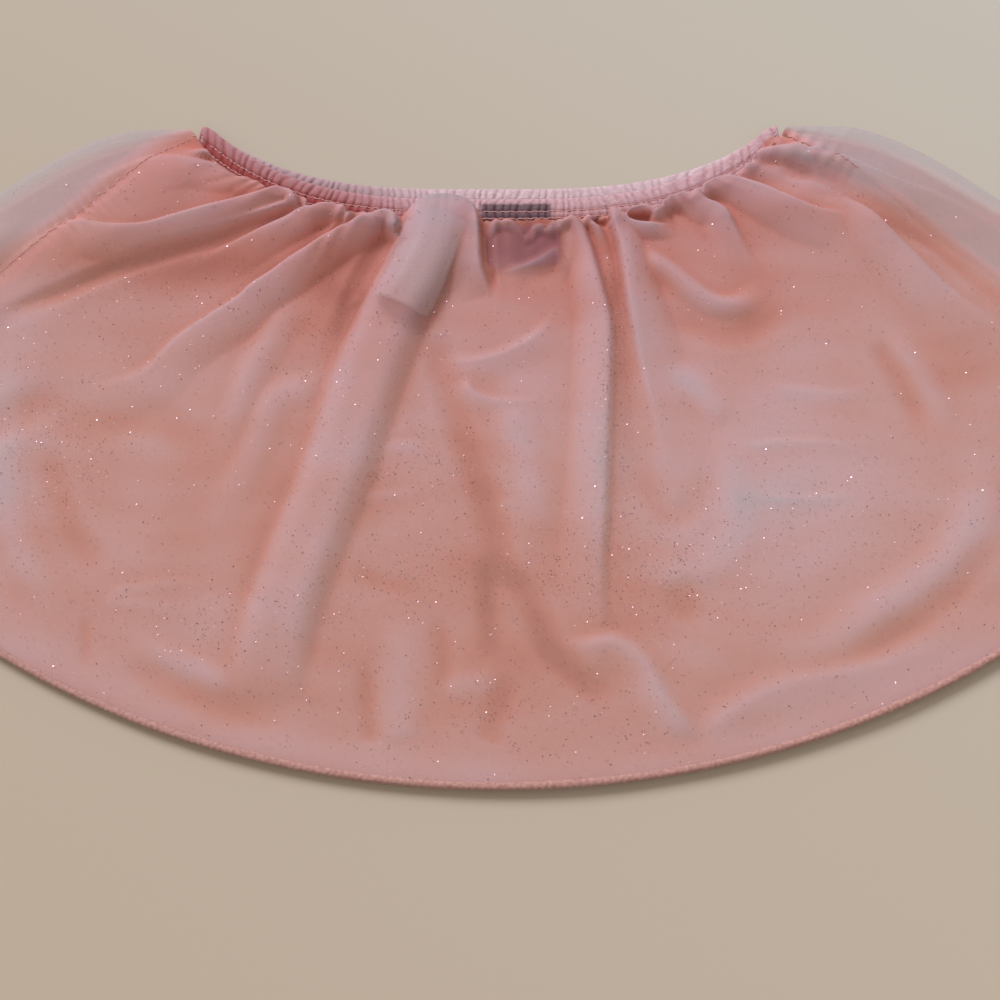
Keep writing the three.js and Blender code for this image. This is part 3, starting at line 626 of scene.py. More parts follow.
# A closed bar through rings of points, one row each
def barPiece(name, rings, material, fields=None):
    count, sides = rings.shape[:2]
    k, s = np.meshgrid(np.arange(count - 1), np.arange(sides), indexing="ij")
    here = k * sides + s
    turn = k * sides + (s + 1) % sides
    quads = np.stack([here, turn, turn + sides, here + sides], axis=-1).reshape(-1, 4)
    faces = quads.tolist()
    faces.append(list(range(sides))[::-1])
    faces.append([(count - 1) * sides + n for n in range(sides)])
    return newPiece(name, rings.reshape(-1, 3), faces, material, fields)


# Many small copies of one form in one mesh. The form's points are in the three axes of each place.
def scatterPiece(name, form, formFaces, places, axes, material):
    points = places[:, None, :] + np.einsum("pk,nkc->npc", np.asarray(form, float), axes)
    size = len(form)
    faces = []
    for n in range(len(places)):
        faces += [[n * size + k for k in face] for face in formFaces]
    return newPiece(name, points.reshape(-1, 3), faces, material)


def addNode(tree, kind, settings=None, links=None):
    node = tree.nodes.new(kind)
    for key, value in (settings or {}).items():
        if isinstance(key, str) and key in node.bl_rna.properties:
            setattr(node, key, value)
        else:
            node.inputs[key].default_value = value
    for key, source in (links or {}).items():
        tree.links.new(source, node.inputs[key])
    return node


def fieldOf(tree, name):
    return addNode(tree, "ShaderNodeAttribute", {"attribute_name": name}).outputs["Fac"]


# A colour mix: socket 0 is the share, 6 and 7 are the two colours
def mixColours(tree, settings, links):
    return addNode(tree, "ShaderNodeMix", {"data_type": "RGBA", **settings}, links).outputs[2]


def newMaterial(name, shader):
    material = bpy.data.materials.new(name)
    material.use_nodes = True
    tree = material.node_tree
    skin = tree.nodes["Principled BSDF"]
    for key, value in shader.items():
        skin.inputs[key].default_value = value
    place = addNode(tree, "ShaderNodeTexCoord").outputs["Object"]
    return material, tree, skin, place


# A ramp from (share, hex colour) pairs
def rampOf(tree, source, stops):
    ramp = addNode(tree, "ShaderNodeValToRGB", links={"Fac": source})
    band = ramp.color_ramp.elements
    while len(band) < len(stops):
        band.new(0.5)
    for slot, (share, colour) in zip(band, stops):
        slot.position = share
        slot.color = linear(colour)
    return ramp.outputs["Color"]


chiffon = {
    # Colours along the tone: the hollow colour is painted shade, the crest colour and the pale lavender top are
    # painted highlight and sheen, and the touching, near and lifted colours are partly the colour of two sheer
    # layers and partly painted light
    "hollow": "#cf7c6c",
    "touching": "#ea9989",
    "near": "#efb1a9",
    "lifted": "#f2c4c8",
    "crest": "#ebccd4",
    "paintedSheen": "#d2cad1",
    # Multiplied in near the casing: gathered cloth is denser, and this is also painted shade under the casing
    # and between the gathers
    "gatheredAndShaded": "#eee2df",
    "alpha": (0.32, 0.72),
    "roughness": 0.6,
    "sheen": 0.2,
    "sheenTint": "#e2def6",
    "crepeSpacing": 0.9,
    "crepeShare": 0.16,
}


# Polyester chiffon, woven from hard twisted yarn: matt, with a soft lavender sheen. Its colour follows the
# painted tone: crests and side folds painted pale lavender as painted highlight and sheen, hollows painted dark
# red as painted shade, and warmer where it lies on the layer under it, partly the colour of the two layers and
# partly painted light. It is sheer, and denser where it is gathered, where it is also painted darker, partly as
# painted shade under the casing. The crepe grain is drawn at 0.9 mm, coarser than real yarn.
def makeChiffon(name):
    material, tree, skin, place = newMaterial(name, {
        "Roughness": chiffon["roughness"],
        "Sheen Weight": chiffon["sheen"],
        "Sheen Roughness": 0.4,
        "Sheen Tint": linear(chiffon["sheenTint"]),
        "Specular IOR Level": 0.2,
    })
    colour = rampOf(tree, fieldOf(tree, "tone"), [
        (0.0, chiffon["hollow"]), (0.22, chiffon["touching"]), (0.44, chiffon["near"]),
        (0.68, chiffon["lifted"]), (0.84, chiffon["crest"]), (1.0, chiffon["paintedSheen"]),
    ])
    # Darker near the casing: partly denser gathered cloth, partly painted shade
    dense = fieldOf(tree, "gatheredAndShaded")
    gatheredAndShaded = mixColours(tree, {"blend_type": "MULTIPLY", 7: linear(chiffon["gatheredAndShaded"])},
                          {0: dense, 6: colour})
    fleck = addNode(tree, "ShaderNodeTexNoise", {"Scale": 1 / (chiffon["crepeSpacing"] * mm), "Detail": 1.0},
                    {"Vector": place})
    flecked = mixColours(tree, {"blend_type": "MULTIPLY", "Factor": chiffon["crepeShare"]},
                         {6: gatheredAndShaded, 7: fleck.outputs["Color"]})
    tree.links.new(flecked, skin.inputs["Base Color"])
    sheer, thick = chiffon["alpha"]
    density = addNode(tree, "ShaderNodeMapRange", {"To Min": sheer, "To Max": thick}, {"Value": dense})
    tree.links.new(density.outputs["Result"], skin.inputs["Alpha"])
    return material


def makeCloth(name, colours, roughness, alpha, grain, bumpDepth, shades=None):
    material, tree, skin, place = newMaterial(name, {
        "Alpha": alpha,
        "Roughness": roughness,
        "Sheen Weight": 0.3,
        "Sheen Tint": linear(chiffon["sheenTint"]),
        "Specular IOR Level": 0.25,
    })
    spots = addNode(tree, "ShaderNodeTexNoise", {"Scale": 1 / (grain * mm), "Detail": 2.0}, {"Vector": place})
    colour = rampOf(tree, spots.outputs["Fac"], [(0.3, colours[0]), (0.7, colours[1])])
    # Each field mixes its colour in: a shade field is painted shade, a tab field a dark label seen through the
    # cloth
    for field, shadeColour in (shades or {}).items():
        colour = mixColours(tree, {7: linear(shadeColour)}, {0: fieldOf(tree, field), 6: colour})
    tree.links.new(colour, skin.inputs["Base Color"])
    bump = addNode(tree, "ShaderNodeBump", {"Strength": 0.5, "Distance": bumpDepth * mm},
                   {"Height": spots.outputs["Fac"]})
    tree.links.new(bump.outputs["Normal"], skin.inputs["Normal"])
    return material


pinkChiffon = makeChiffon("pinkChiffon")
# The shade colours are painted shade; the tab colour is the dark size label under the casing
casingChiffon = makeCloth("casingChiffon", ("#bd979b", "#d2afb3"), 0.7, 1.0, 1.6, 0.2,
                          {"shade": "#923026", "tab": "#3a2430"})
farCasingChiffon = makeCloth("farCasingChiffon", ("#c6aaae", "#dac2c5"), 0.7, 1.0, 1.6, 0.2,
                             {"shade": "#8c6468"})
hemRoll = makeCloth("hemRoll", ("#a87a6e", "#c49a8e"), 0.7, 1.0, 1.4, 0.2)
# Polyester sewing thread: smooth with a faint gloss, a shade paler than the cloth
paleThread = makeCloth("paleThread", ("#c8908c", "#dcaca6"), 0.45, 1.0, 0.6, 0.05)
# The overlocked seam allowances are several layers thick, so they look dark and warm
overlockThread = makeCloth("overlockThread", ("#c6857c", "#d89a92"), 0.6, 1.0, 0.8, 0.1)
# Woven satin label tape, coloured a mid grey well below white
whiteSatin = makeCloth("whiteSatin", ("#a29a99", "#b0a8a6"), 0.45, 1.0, 0.8, 0.05)
darkSatin = makeCloth("darkSatin", ("#241f48", "#383064"), 0.45, 1.0, 0.8, 0.05)
print("materials made")


panels = {
    "columns": 350,
    "rows": 205,
    "wrapColumns": 36,
    "rollColumns": 16,
    "underColumns": 178,
    "topTuck": 1.2,
    "footTuck": 1.6,
    "gatherTone": 46,
    "loosePatches": [(-31, 72, 17, 24, 0.9), (12, 84, 24, 14, 0.7)],
}


# Rows lie closer together near the casing, where the gathers are
def rowShare(step):
    t = step / (panels["rows"] - 1)
    return 0.5 * t + 0.5 * t ** 2


def rowV(step):
    top = -panels["topTuck"] / plan["length"]
    foot = 1 - panels["footTuck"] / plan["length"]
    return top + (foot - top) * rowShare(step)


# A sheet of cloth through a grid of points, with how pale it is painted and how closely gathered it is at each;
# the gathering also darkens it near the casing, partly as painted shade
def sheetPiece(name, grid, v, tone, aside, material):
    gatheredAndShaded = np.exp(-np.maximum(v, 0) * plan["length"] / panels["gatherTone"])
    gatheredAndShaded = np.broadcast_to(gatheredAndShaded[:, None], grid.shape[:2])
    for *oval, amount in panels["loosePatches"]:
        gatheredAndShaded = gatheredAndShaded * (1 - amount * np.exp(-ovalOff(grid[..., 0], grid[..., 1], *oval) ** 2))
    gatheredAndShaded = gatheredAndShaded * (1 - aside)
    quads = gridQuads(*grid.shape[:2]).tolist()
    return newPiece(name, grid.reshape(-1, 3), quads, material, {"tone": tone, "gatheredAndShaded": gatheredAndShaded})


def backGrid(v):
    left, right = seamU(-1, v), seamU(1, v)
    t = np.linspace(0, 1, panels["columns"])
    u = left[:, None] * (1 - t) + right[:, None] * t
    vGrid = np.broadcast_to(v[:, None], u.shape)
    return raised(clothPoint(u, vGrid), backHeight(u, vGrid)), u


# One side of the front panel's rows, from its seam on top round the side fold to the underside
def sideGrid(side, v, low):
    span = sideSpan(side, v)
    firstHeight = backHeight(side * (1 - 4 / span), v)
    reach = 1.2 * (firstHeight - low) / 2 / span
    crest = side * (1 - reach)
    top = backHeight(crest, v)
    t = np.arange(panels["wrapColumns"]) / panels["wrapColumns"]
    u = seamU(side, v)[:, None] * (1 - t) + crest[:, None] * t
    vGrid = np.broadcast_to(v[:, None], u.shape)
    wrap = raised(planPoint(u, vGrid), backHeight(u, vGrid))
    wrapU = u
    t = np.arange(panels["rollColumns"] + 1) / panels["rollColumns"]
    turn = np.pi * t
    u = side * (1 - reach[:, None] + reach[:, None] * np.sin(turn))
    vGrid = np.broadcast_to(v[:, None], u.shape)
    place = planPoint(u, vGrid)
    place[..., 1] += frontShift(u, vGrid) * t
    roll = raised(place, low + (top - low)[:, None] * (1 + np.cos(turn)) / 2)
    return np.concatenate([wrap, roll], axis=1), np.concatenate([wrapU, u], axis=1)


# Shallow creases of the panel that lies on the table: the other panel's folds, mirrored and pressed flat
def underLift(u, v):
    places = planPoint(-u, v).reshape(-1, 2)
    lift = np.zeros(len(places))
    for fold in mainFolds:
        lift = lift + foldLift(fold, places)
    lift = lift / 8 + 0.5 * ripples(places[:, 0], places[:, 1])
    lift = level["underRelief"] * np.tanh(np.maximum(lift, 0))
    lift = lift + 0.4 * np.maximum(gatherLift(-u, v).ravel(), 0)
    inside = smooth(1 - np.abs(u), 0.02, 0.1) * smooth(1 - v, 0.01, 0.05)
    return lift.reshape(u.shape) * inside


def frontGrid(v, low):
    leftSide, leftU = sideGrid(-1, v, low)
    rightSide, rightU = sideGrid(1, v, low)
    t = np.arange(1, panels["underColumns"]) / panels["underColumns"]
    u = leftU[:, -1:] * (1 - t) + rightU[:, -1:] * t
    vGrid = np.broadcast_to(v[:, None], u.shape)
    place = planPoint(u, vGrid)
    place[..., 1] += frontShift(u, vGrid)
    under = raised(place, low + underLift(u, vGrid))
    return (np.concatenate([leftSide, under, rightSide[:, ::-1]], axis=1),
            np.concatenate([leftU, u, rightU[:, ::-1]], axis=1))


clothV = rowV(np.arange(panels["rows"]))
backCloth, backU = backGrid(clothV)
backSides = sideShare(backU, clothV)
backPanel = sheetPiece("chiffonBack", backCloth, clothV, toneOf(backCloth, backSides), backSides, pinkChiffon)
frontCloth, frontU = frontGrid(clothV, level["front"])
frontSides = sideShare(frontU, clothV) * smooth(frontCloth[..., 2], 1, 3)
frontTone = toneOf(frontCloth, frontSides)
frontTone[frontCloth[..., 2] < tones["undersideHeight"]] += tones["underside"]
frontPanel = sheetPiece("chiffonFront", frontCloth, clothV, frontTone, frontSides, pinkChiffon)
print("panels made")


# The casing: cloth ruched over an elastic and pinned by two rows of chain stitch
casing = {
    "width": 11.5,
    "ribs": 74,
    "columnsPerRib": 8,
    "grooveDepth": 0.85,
    "upperStitch": 0.40,
    "lowerStitch": 0.09,
    "stitchDepth": 0.55,
    "frontShift": 7,
    "endRound": 0.045,
    "endRadius": 2.5,
    "uprightEnds": (0.85, 0.9),
    "tab": (-8.5, 23),
    "endRings": 28,
    "endSides": 18,
    "endMiddle": 2.56,
    "endInset": 2.2,
}


def casingRun(shift, u):
    foot = waistPoint(u, shift)
    run = unit(waistPoint(u + 0.001, shift) - waistPoint(u - 0.001, shift))
    square = np.stack([-run[:, 1], run[:, 0]], axis=1)
    upright = np.abs(u) ** 3 * np.where(u < 0, casing["uprightEnds"][0], casing["uprightEnds"][1])
    across = unit(square + (np.array([0.0, 1.0]) - square) * upright[:, None])
    width = casing["width"] / np.sum(across * square, axis=1)
    return foot, across, width, run


# Depth below the full height of the upper face, by place along the waist and share of the width
def casingDip(u, share):
    turns = casing["ribs"] * (u + 1) / 2 - 5 * smooth(u, 0.35, 1) + 0.3 * np.sin(23 * u)
    turns = turns + 0.2 * np.sin(61 * u + 2)
    turns = turns + 0.35 * np.sin(9 * u + 4 * share) * share
    groove = (0.5 + 0.5 * np.cos(2 * np.pi * turns)) ** 3
    strength = 0.6 + 0.25 * np.sin(13 * u + 1) * np.sin(37 * u + 3 * share)
    strength = strength + 0.3 * np.sin(2 * np.pi * turns / 2.7)
    fold = (0.5 + 0.5 * np.cos(2 * np.pi * (turns * 1.9 + 1.3 * share))) ** 2
    lower = 1 - smooth(share, casing["upperStitch"] - 0.03, casing["upperStitch"] + 0.06)
    dip = casing["grooveDepth"] * strength * (groove * (1 - 0.35 * lower) + 0.5 * lower * fold)
    for row in (casing["upperStitch"], casing["lowerStitch"]):
        dip = dip + casing["stitchDepth"] * np.exp(-((share - row) / 0.055) ** 2)
    return dip, groove


def casingRings(base, shift):
    u = np.linspace(-1, 1, casing["ribs"] * casing["columnsPerRib"] + 1)
    foot, across, width, run = casingRun(shift, u)
    shares = np.array([0.0, 0.03, 0.06, 0.09, 0.12, 0.17, 0.24, 0.31, 0.36, 0.40, 0.44, 0.50, 0.58, 0.68,
                       0.78, 0.87, 0.94, 0.98, 1.0])
    crown = np.sqrt(np.clip(1 - (np.abs(shares - 0.5) * 2) ** 4, 0.02, 1))
    past = np.clip((np.abs(u) - 1 + casing["endRound"]) / casing["endRound"], 0, 1)
    end = np.sqrt(np.clip(1 - past ** 2, 0, 1))
    half = level["casingThick"] / 2
    rings, shades, tabs = [], [], []
    sleeve = smooth(foot[:, 0], casing["tab"][0] - 1, casing["tab"][0] + 1)
    sleeve = sleeve * (1 - smooth(foot[:, 0], casing["tab"][1] - 1, casing["tab"][1] + 1))
    for k in list(range(len(shares))) + list(range(len(shares) - 2, 0, -1)):
        upper = len(rings) < len(shares)
        inner = shares[k] * (1 - 0.4 * (1 - end)) + 0.12 * (1 - end)
        place = foot + across * (width * inner)[:, None]
        thick = half * crown[k] * (0.4 + 0.6 * end)
        dip, groove = casingDip(u, shares[k])
        side = thick - dip * crown[k] * (0.3 + 0.7 * end) if upper else -thick
        rings.append(raised(place, base + half + side))
        tabs.append(sleeve * (1 - smooth(shares[k], 0.72, 0.8)) * (0.76 + 0.18 * groove))
        # Painted shade on both casings: darker in the grooves, on the lower half and towards the left end
        warm = 0.24 * (1 - smooth(shares[k], 0.3, 0.6))
        warm = warm + 0.7 * smooth(-u, 0.12, 0.55) * (1 - 0.5 * shares[k] ** 3)
        shades.append(np.clip(0.22 * groove + warm, 0, 1))
    return np.stack(rings, axis=1), {"shade": np.stack(shades, axis=1), "tab": np.stack(tabs, axis=1)}


backRings, backShades = casingRings(level["casingBase"], 0)
casingBack = barPiece("casingBack", backRings, casingChiffon, backShades)
frontRings, frontShades = casingRings(0, casing["frontShift"])
casingFront = barPiece("casingFront", frontRings, farCasingChiffon, frontShades)


# The two rumpled ends, where the casing turns round from the back half to the front half
def casingEnd(side):
    foot, across, width, run = casingRun(0, np.array([float(side)]))
    t = np.linspace(0, 1, casing["endRings"])
    turn = np.linspace(0, 2 * np.pi, casing["endSides"], endpoint=False)
    taper = np.sqrt(np.clip(1 - (np.abs(t - 0.5) * 2) ** 3, 0.03, 1))
    lumps = 1 + 0.10 * np.sin(t * 31 + side) + 0.06 * np.sin(t * 57)
    radius = (casing["endRadius"] * taper * lumps)[:, None]
    middle = foot[0] + across[0] * (width[0] * (0.1 + 0.7 * t))[:, None]
    out = radius * np.cos(turn) * (1 + 0.08 * np.sin(3 * turn + 9 * t[:, None]))
    up = 0.94 * radius * np.sin(turn)
    plane = middle[:, None, :] + (-side * casing["endInset"] + out * 0.8)[..., None] * run[0]
    rings = raised(plane, casing["endMiddle"] + up)
    return rings if side < 0 else rings[::-1]


def casingEndPiece(name, side, shade):
    rings = casingEnd(side)
    return barPiece(name, rings, casingChiffon, {"shade": np.full(rings.shape[:2], shade)})


casingEndLeft = casingEndPiece("casingEndLeft", -1, 0.42)
casingEndRight = casingEndPiece("casingEndRight", 1, 0.16)

# One stitch: a short thread with tapered ends, 1 long and 1 thick
stitchRings = [(-0.5, 0.25), (-0.3, 0.5), (0.3, 0.5), (0.5, 0.25)]
stitchSides = 5
stitchForm = [(at, r * math.cos(2 * math.pi * s / stitchSides), r * math.sin(2 * math.pi * s / stitchSides))
              for at, r in stitchRings for s in range(stitchSides)]
stitchFaces = [[k * stitchSides + s, k * stitchSides + (s + 1) % stitchSides,
                (k + 1) * stitchSides + (s + 1) % stitchSides, (k + 1) * stitchSides + s]
               for k in range(len(stitchRings) - 1) for s in range(stitchSides)]
stitchFaces.append(list(range(stitchSides))[::-1])
stitchFaces.append([(len(stitchRings) - 1) * stitchSides + s for s in range(stitchSides)])


# Axes of stitches laid along a run of points, each turned a little from the run
def stitchAxes(points, long, wide, tall, lean):
    along = unit(np.gradient(points, axis=0))
    aside = unit(np.cross([0, 0, 1.0], along))
    up = np.cross(along, aside)
    turned = along * np.cos(lean)[:, None] + aside * np.sin(lean)[:, None]
    square = np.cross(up, turned)
    return np.stack([turned * long, square * wide, up * tall], axis=1)


stitch = {"run": 286, "spacing": 2.0, "length": 2.1, "width": 0.62, "height": 0.5, "lean": 0.28, "lastU": 0.955}


def casingStitches(name, base, shift):
    u = np.linspace(-stitch["lastU"], stitch["lastU"], int(stitch["run"] / stitch["spacing"]))
    foot, across, width, run = casingRun(shift, u)
    places, axes = [], []
    for row in (casing["upperStitch"], casing["lowerStitch"]):
        dip, groove = casingDip(u, row)
        place = foot + across * (width * row)[:, None]
        points = raised(place, base + level["casingThick"] - dip * 0.8 + 0.05)
        lean = stitch["lean"] * np.where(np.arange(len(u)) % 2 == 0, 1.0, -0.6)
        places.append(points)
        axes.append(stitchAxes(points, stitch["length"], stitch["width"], stitch["height"], lean))
    return scatterPiece(name, stitchForm, stitchFaces, np.concatenate(places), np.concatenate(axes), paleThread)


stitchesBack = casingStitches("casingStitchesBack", level["casingBase"], 0)
stitchesFront = casingStitches("casingStitchesFront", 0, casing["frontShift"])
print("casing made")


# Rolled hems: a narrow oval roll with the slant of its overlock stitches
hem = {"width": 2.8, "thick": 1.8, "sides": 10, "stitchSpacing": 2.6, "relief": 0.16, "columns": 720,
       "backLowest": 3.3, "frontMiddle": 1.0}


def hemRings(centres):
    run = unit(np.gradient(centres, axis=0))
    outward = centres - np.array([0, plan["hemCentreY"], 0])
    outward[:, 2] = 0
    outward -= run * np.sum(outward * run, axis=1, keepdims=True)
    outward = unit(outward)
    up = np.cross(run, outward)
    gone = np.concatenate([[0], np.cumsum(np.linalg.norm(np.diff(centres, axis=0), axis=1))])
    rings = []
    for s in range(hem["sides"]):
        turn = 2 * np.pi * s / hem["sides"]
        swell = 1 + hem["relief"] * np.sin(2 * np.pi * gone / hem["stitchSpacing"] + 2 * turn)
        swell = (swell * (1 + 0.08 * np.sin(gone / 23)))[:, None]
        wide = outward * (hem["width"] / 2 * math.cos(turn))
        tall = up * (hem["thick"] / 2 * math.sin(turn))
        rings.append(centres + (wide + tall) * swell)
    return np.stack(rings, axis=1)


hemV = 1 - hem["width"] / 2 / plan["length"]
u = np.linspace(seamU(-1, hemV), seamU(1, hemV), hem["columns"])
backHemLine = raised(planPoint(u, hemV), np.maximum(backHeight(u, np.full_like(u, hemV)), hem["backLowest"]))
frontHemLine = frontGrid(np.array([hemV]), hem["frontMiddle"])[0][0]
hemBack = barPiece("hemBack", hemRings(backHemLine), hemRoll)
hemFront = barPiece("hemFront", hemRings(frontHemLine), hemRoll)
print("hems made")


# The side seams: an overlocked allowance under the cloth, and its stitches drawing a puckered line
seam = {"allowance": 7.0, "allowanceDrop": 0.5, "columns": 6, "rows": 120, "leftEnd": 0.985, "rightEnd": 0.16,
        "spacing": 2.6, "length": 2.3, "width": 0.55, "height": 0.45, "stand": 0.05}


def seamPieces(side, label, end):
    v = np.linspace(0.004, end, seam["rows"])
    span = sideSpan(side, v)
    inward = np.linspace(0, 1, seam["columns"])
    wobble = 1 + 0.12 * np.sin(v * 61) + 0.08 * np.sin(v * 143)
    u = seamU(side, v)[:, None] - side * inward * (seam["allowance"] * wobble / span)[:, None]
    vGrid = np.broadcast_to(v[:, None], u.shape)
    strip = raised(planPoint(u, vGrid), backHeight(u, vGrid) - seam["allowanceDrop"])
    if side < 0:
        strip = strip[:, ::-1]
    allowance = sheetPiece("seamAllowance" + label, strip, v, np.full(u.shape, 0.3), 0, pinkChiffon)
    v = np.linspace(0.01, end, int(plan["length"] * end / seam["spacing"]))
    u = seamU(side, v)
    points = raised(planPoint(u, v), backHeight(u, v) + seam["stand"])
    lean = np.where(np.arange(len(v)) % 2 == 0, 0.2, -0.15)
    axes = stitchAxes(points, seam["length"], seam["width"], seam["height"], lean)
    thread = scatterPiece("seamStitches" + label, stitchForm, stitchFaces, points, axes, overlockThread)
    return allowance, thread


allowanceLeft, seamLeft = seamPieces(-1, "Left", seam["leftEnd"])
allowanceRight, seamRight = seamPieces(1, "Right", seam["rightEnd"])
print("side seams made")


# Labels, which hang from the waist under the back panel
def clothHeight(places):
    u, v = clothPlace(places)
    return backHeight(u, np.clip(v, 0.004, 0.99))


def labelGrid(label):
    across, up = labelAxes(label)
    t = np.linspace(0, 1, 30)
    s = np.linspace(-1, 1, 21)
    rise = label["length"] * (1 - t)[:, None]
    corner = labels["cornerRadius"]
    inset = corner - np.sqrt(np.clip(corner ** 2 - np.clip(corner - rise, 0, corner) ** 2, 0, None))
    aside = s * (label["width"] / 2 - inset) + label["bend"] * (1 - t[:, None]) ** 2
    base = np.array([label["x"], label["y"]])
    rows = base + up * (rise + 0 * s)[..., None] + across * aside[..., None]
    places = rows.reshape(-1, 2)
    lowest = np.full(len(places), 1e9)
    for dx, dy in ((0, 0), (1, 0), (-1, 0), (0, 1), (0, -1)):
        lowest = np.minimum(lowest, clothHeight(places + labels["clearance"] * np.array([dx, dy])))
    height = np.maximum(lowest - labels["drop"], labels["lowest"])
    return raised(rows, height.reshape(rows.shape[:2]))


careLabel = shellPiece("careLabel", labelGrid(labels["care"]), labels["thick"], whiteSatin)
sizeLabel = shellPiece("sizeLabel", labelGrid(labels["size"]), labels["thick"], darkSatin)
print("labels made")


# Glitter: flat metallised polyester flakes stuck to the cloth at odd tilts, so most look dark and a few
# flash. They are 0.34 to 0.68 mm across. Clusters are a middle, half sizes and a weight.
glitter = {
    "backCount": 6800,
    "frontCount": 3800,
    "smallest": 0.17,
    "largest": 0.34,
    "tilt": 0.9,
    "tiltShare": 0.6,
    "largestCell": 4.5,
    "chance": 0.7,
    "stand": 0.16,
    "everywhere": 0.25,
    "seed": 11,
}
glitterClusters = [
    (-185, -14, 26, 30, 1.0), (-36, -22, 34, 20, 0.9), (52, -66, 56, 20, 1.0), (50, 20, 6, 60, 0.9),
    (8, -118, 60, 14, 0.8), (-110, -84, 46, 16, 0.7), (-40, 40, 20, 20, 0.4), (120, -40, 60, 24, 0.5),
    (-250, 40, 22, 60, 0.9), (250, 40, 22, 50, 0.6), (-150, 60, 40, 14, 0.6), (-40, -70, 40, 14, 0.8),
    (-80, 40, 12, 40, 0.6), (44, -20, 4, 70, 0.8),
]


def scatterGlitter(name, grid, count, seed):
    rng = np.random.default_rng(seed)
    rows, columns = grid.shape[:2]
    kept = []
    while len(kept) < count:
        j, i = rng.integers(0, rows - 1), rng.integers(0, columns - 1)
        cell = grid[j:j + 2, i:i + 2]
        side, fall = cell[0, 1] - cell[0, 0], cell[1, 0] - cell[0, 0]
        place = cell[0, 0] + side * rng.random() + fall * rng.random()
        weight = glitter["everywhere"]
        for *oval, amount in glitterClusters:
            weight += amount * math.exp(-ovalOff(place[0], place[1], *oval))
        area = np.linalg.norm(np.cross(side, fall)) / glitter["largestCell"]
        if rng.random() < weight * area * glitter["chance"]:
            normal = np.cross(fall, side)
            kept.append((place, normal / np.linalg.norm(normal)))
    places = np.array([place for place, normal in kept])
    normals = np.array([normal for place, normal in kept])
    leaning = normals + glitter["tilt"] * rng.standard_normal((count, 3)) * glitter["tiltShare"]
    leaning = unit(leaning)
    spin = unit(np.cross(leaning, rng.standard_normal((count, 3))))
    size = glitter["smallest"] + (glitter["largest"] - glitter["smallest"]) * rng.random(count) ** 2
    axes = np.stack([spin, np.cross(leaning, spin), leaning], axis=1) * size[:, None, None]
    form = [(math.cos(math.pi * k / 3), math.sin(math.pi * k / 3), 0.0) for k in range(6)]
    places = places + normals * glitter["stand"]
    return scatterPiece(name, form, [list(range(6))], places, axes, glitterFlake)


glitterFlake, tree, skin, place = newMaterial("glitterFlake", {"Metallic": 1.0, "Roughness": 0.36})
spots = addNode(tree, "ShaderNodeTexNoise", {"Scale": 60.0, "Detail": 1.0}, {"Vector": place})
tree.links.new(rampOf(tree, spots.outputs["Fac"], [(0.35, "#9a6c74"), (0.65, "#c4a6b0")]),
               skin.inputs["Base Color"])
glitterBack = scatterGlitter("glitterBack", backCloth, glitter["backCount"], glitter["seed"])
glitterFront = scatterGlitter("glitterFront", frontCloth, glitter["frontCount"], glitter["seed"] + 1)
print("glitter scattered")


stage = {
    "floorSize": 6.0,
    # The floor's colours are painted light: warmer and darker towards the front left, cooler and paler towards
    # the back right, for a cool window behind and warm room light in front
    "floorPaintedLightAxis": (0.6, 0.8, 0.0),
    "floorRun": (-0.5, 0.4),
    "floorPaintedLightColours": ((0.08, "#bfb099"), (0.52, "#c1b7a3"), (0.96, "#c9c7b9")),
    "cameraTarget": (0.0, -0.034, 0.0),
    "cameraElevation": math.radians(70),
    "cameraDistance": 0.510,
    "cameraView": math.radians(44),
    "sunFrom": (-1.7, 2.5, 2.3),
    "sunAngle": math.radians(26),
    "sunStrength": 2.72,
    "sunColour": "#f4f2ff",
    "skyColour": "#fcf0eb",
    "skyStrength": 0.50,
}


def makeFloor():
    half = stage["floorSize"] / 2
    mesh = bpy.data.meshes.new("tableTop")
    corners = [(-half, -half, 0), (half, -half, 0), (half, half, 0), (-half, half, 0)]
    mesh.from_pydata(corners, [], [(0, 1, 2, 3)])
    floor = bpy.data.objects.new("tableTop", mesh)
    scene.collection.objects.link(floor)
    material, tree, skin, place = newMaterial("paleTable", {"Roughness": 0.85, "Specular IOR Level": 0.1})
    # Painted light across the table, warm and darker at the front left to cool and paler at the back right
    near, far = stage["floorRun"]
    along = addNode(tree, "ShaderNodeVectorMath", {"operation": "DOT_PRODUCT", 1: stage["floorPaintedLightAxis"]},
                    {0: place})
    share = addNode(tree, "ShaderNodeMapRange", {"From Min": near, "From Max": far},
                    {"Value": along.outputs["Value"]})
    tree.links.new(rampOf(tree, share.outputs["Result"], stage["floorPaintedLightColours"]), skin.inputs["Base Color"])
    floor.data.materials.append(material)


def aim(item, target):
    direction = Vector(target) - Vector(item.location)
    item.rotation_mode = "QUATERNION"
    item.rotation_quaternion = direction.to_track_quat("-Z", "Y")


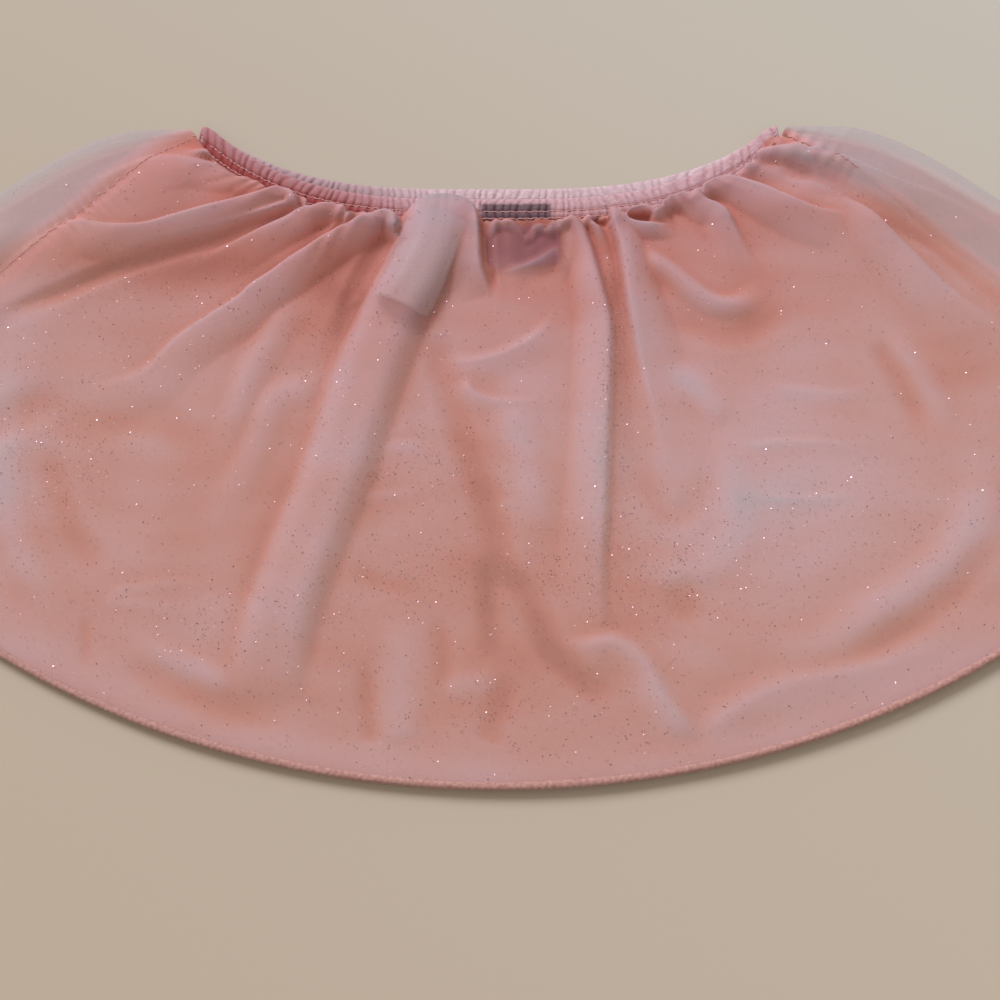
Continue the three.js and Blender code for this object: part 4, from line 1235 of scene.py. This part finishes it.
def makeCamera():
    camera = bpy.data.objects.new("camera", bpy.data.cameras.new("camera"))
    scene.collection.objects.link(camera)
    x, y, z = stage["cameraTarget"]
    distance = stage["cameraDistance"]
    tilt = stage["cameraElevation"]
    camera.location = (x, y - distance * math.cos(tilt), z + distance * math.sin(tilt))
    aim(camera, stage["cameraTarget"])
    camera.data.sensor_width = 36
    camera.data.lens = 18 / math.tan(stage["cameraView"] / 2)
    camera.data.clip_start = 0.01
    scene.camera = camera


def makeSun():
    light = bpy.data.lights.new("coolWindow", "SUN")
    light.angle = stage["sunAngle"]
    light.energy = stage["sunStrength"]
    light.color = linear(stage["sunColour"])[:3]
    sun = bpy.data.objects.new("coolWindow", light)
    sun.location = stage["sunFrom"]
    scene.collection.objects.link(sun)
    aim(sun, (0, 0, 0))


makeFloor()
makeCamera()
makeSun()
world = bpy.data.worlds.new("room")
world.use_nodes = True
world.node_tree.nodes["Background"].inputs["Color"].default_value = linear(stage["skyColour"])
world.node_tree.nodes["Background"].inputs["Strength"].default_value = stage["skyStrength"]
scene.world = world
scene.view_settings.view_transform = "Standard"
print("stage made")


# What each piece is, and which solid it stands for
for piece, node, slot in (
    (backPanel, "back_panel", "pink_chiffon"),
    (frontPanel, "front_panel", "pink_chiffon"),
    (casingBack, "waistband_back", "elastic_casing"),
    (casingFront, "waistband_front", "elastic_casing"),
    (casingEndLeft, None, "elastic_casing"),
    (casingEndRight, None, "elastic_casing"),
    (stitchesBack, None, "elastic_casing"),
    (stitchesFront, None, "elastic_casing"),
    (hemBack, "hem_back", "rolled_hem"),
    (hemFront, "hem_front", "rolled_hem"),
    (allowanceLeft, None, "pink_chiffon"),
    (allowanceRight, None, "pink_chiffon"),
    (seamLeft, None, "rolled_hem"),
    (seamRight, None, "rolled_hem"),
    (careLabel, "care_label", "white_tape"),
    (sizeLabel, "size_label", "dark_tape"),
    (glitterBack, None, "pink_chiffon"),
    (glitterFront, None, "pink_chiffon"),
):
    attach(piece, "root")
    if node:
        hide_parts(node)
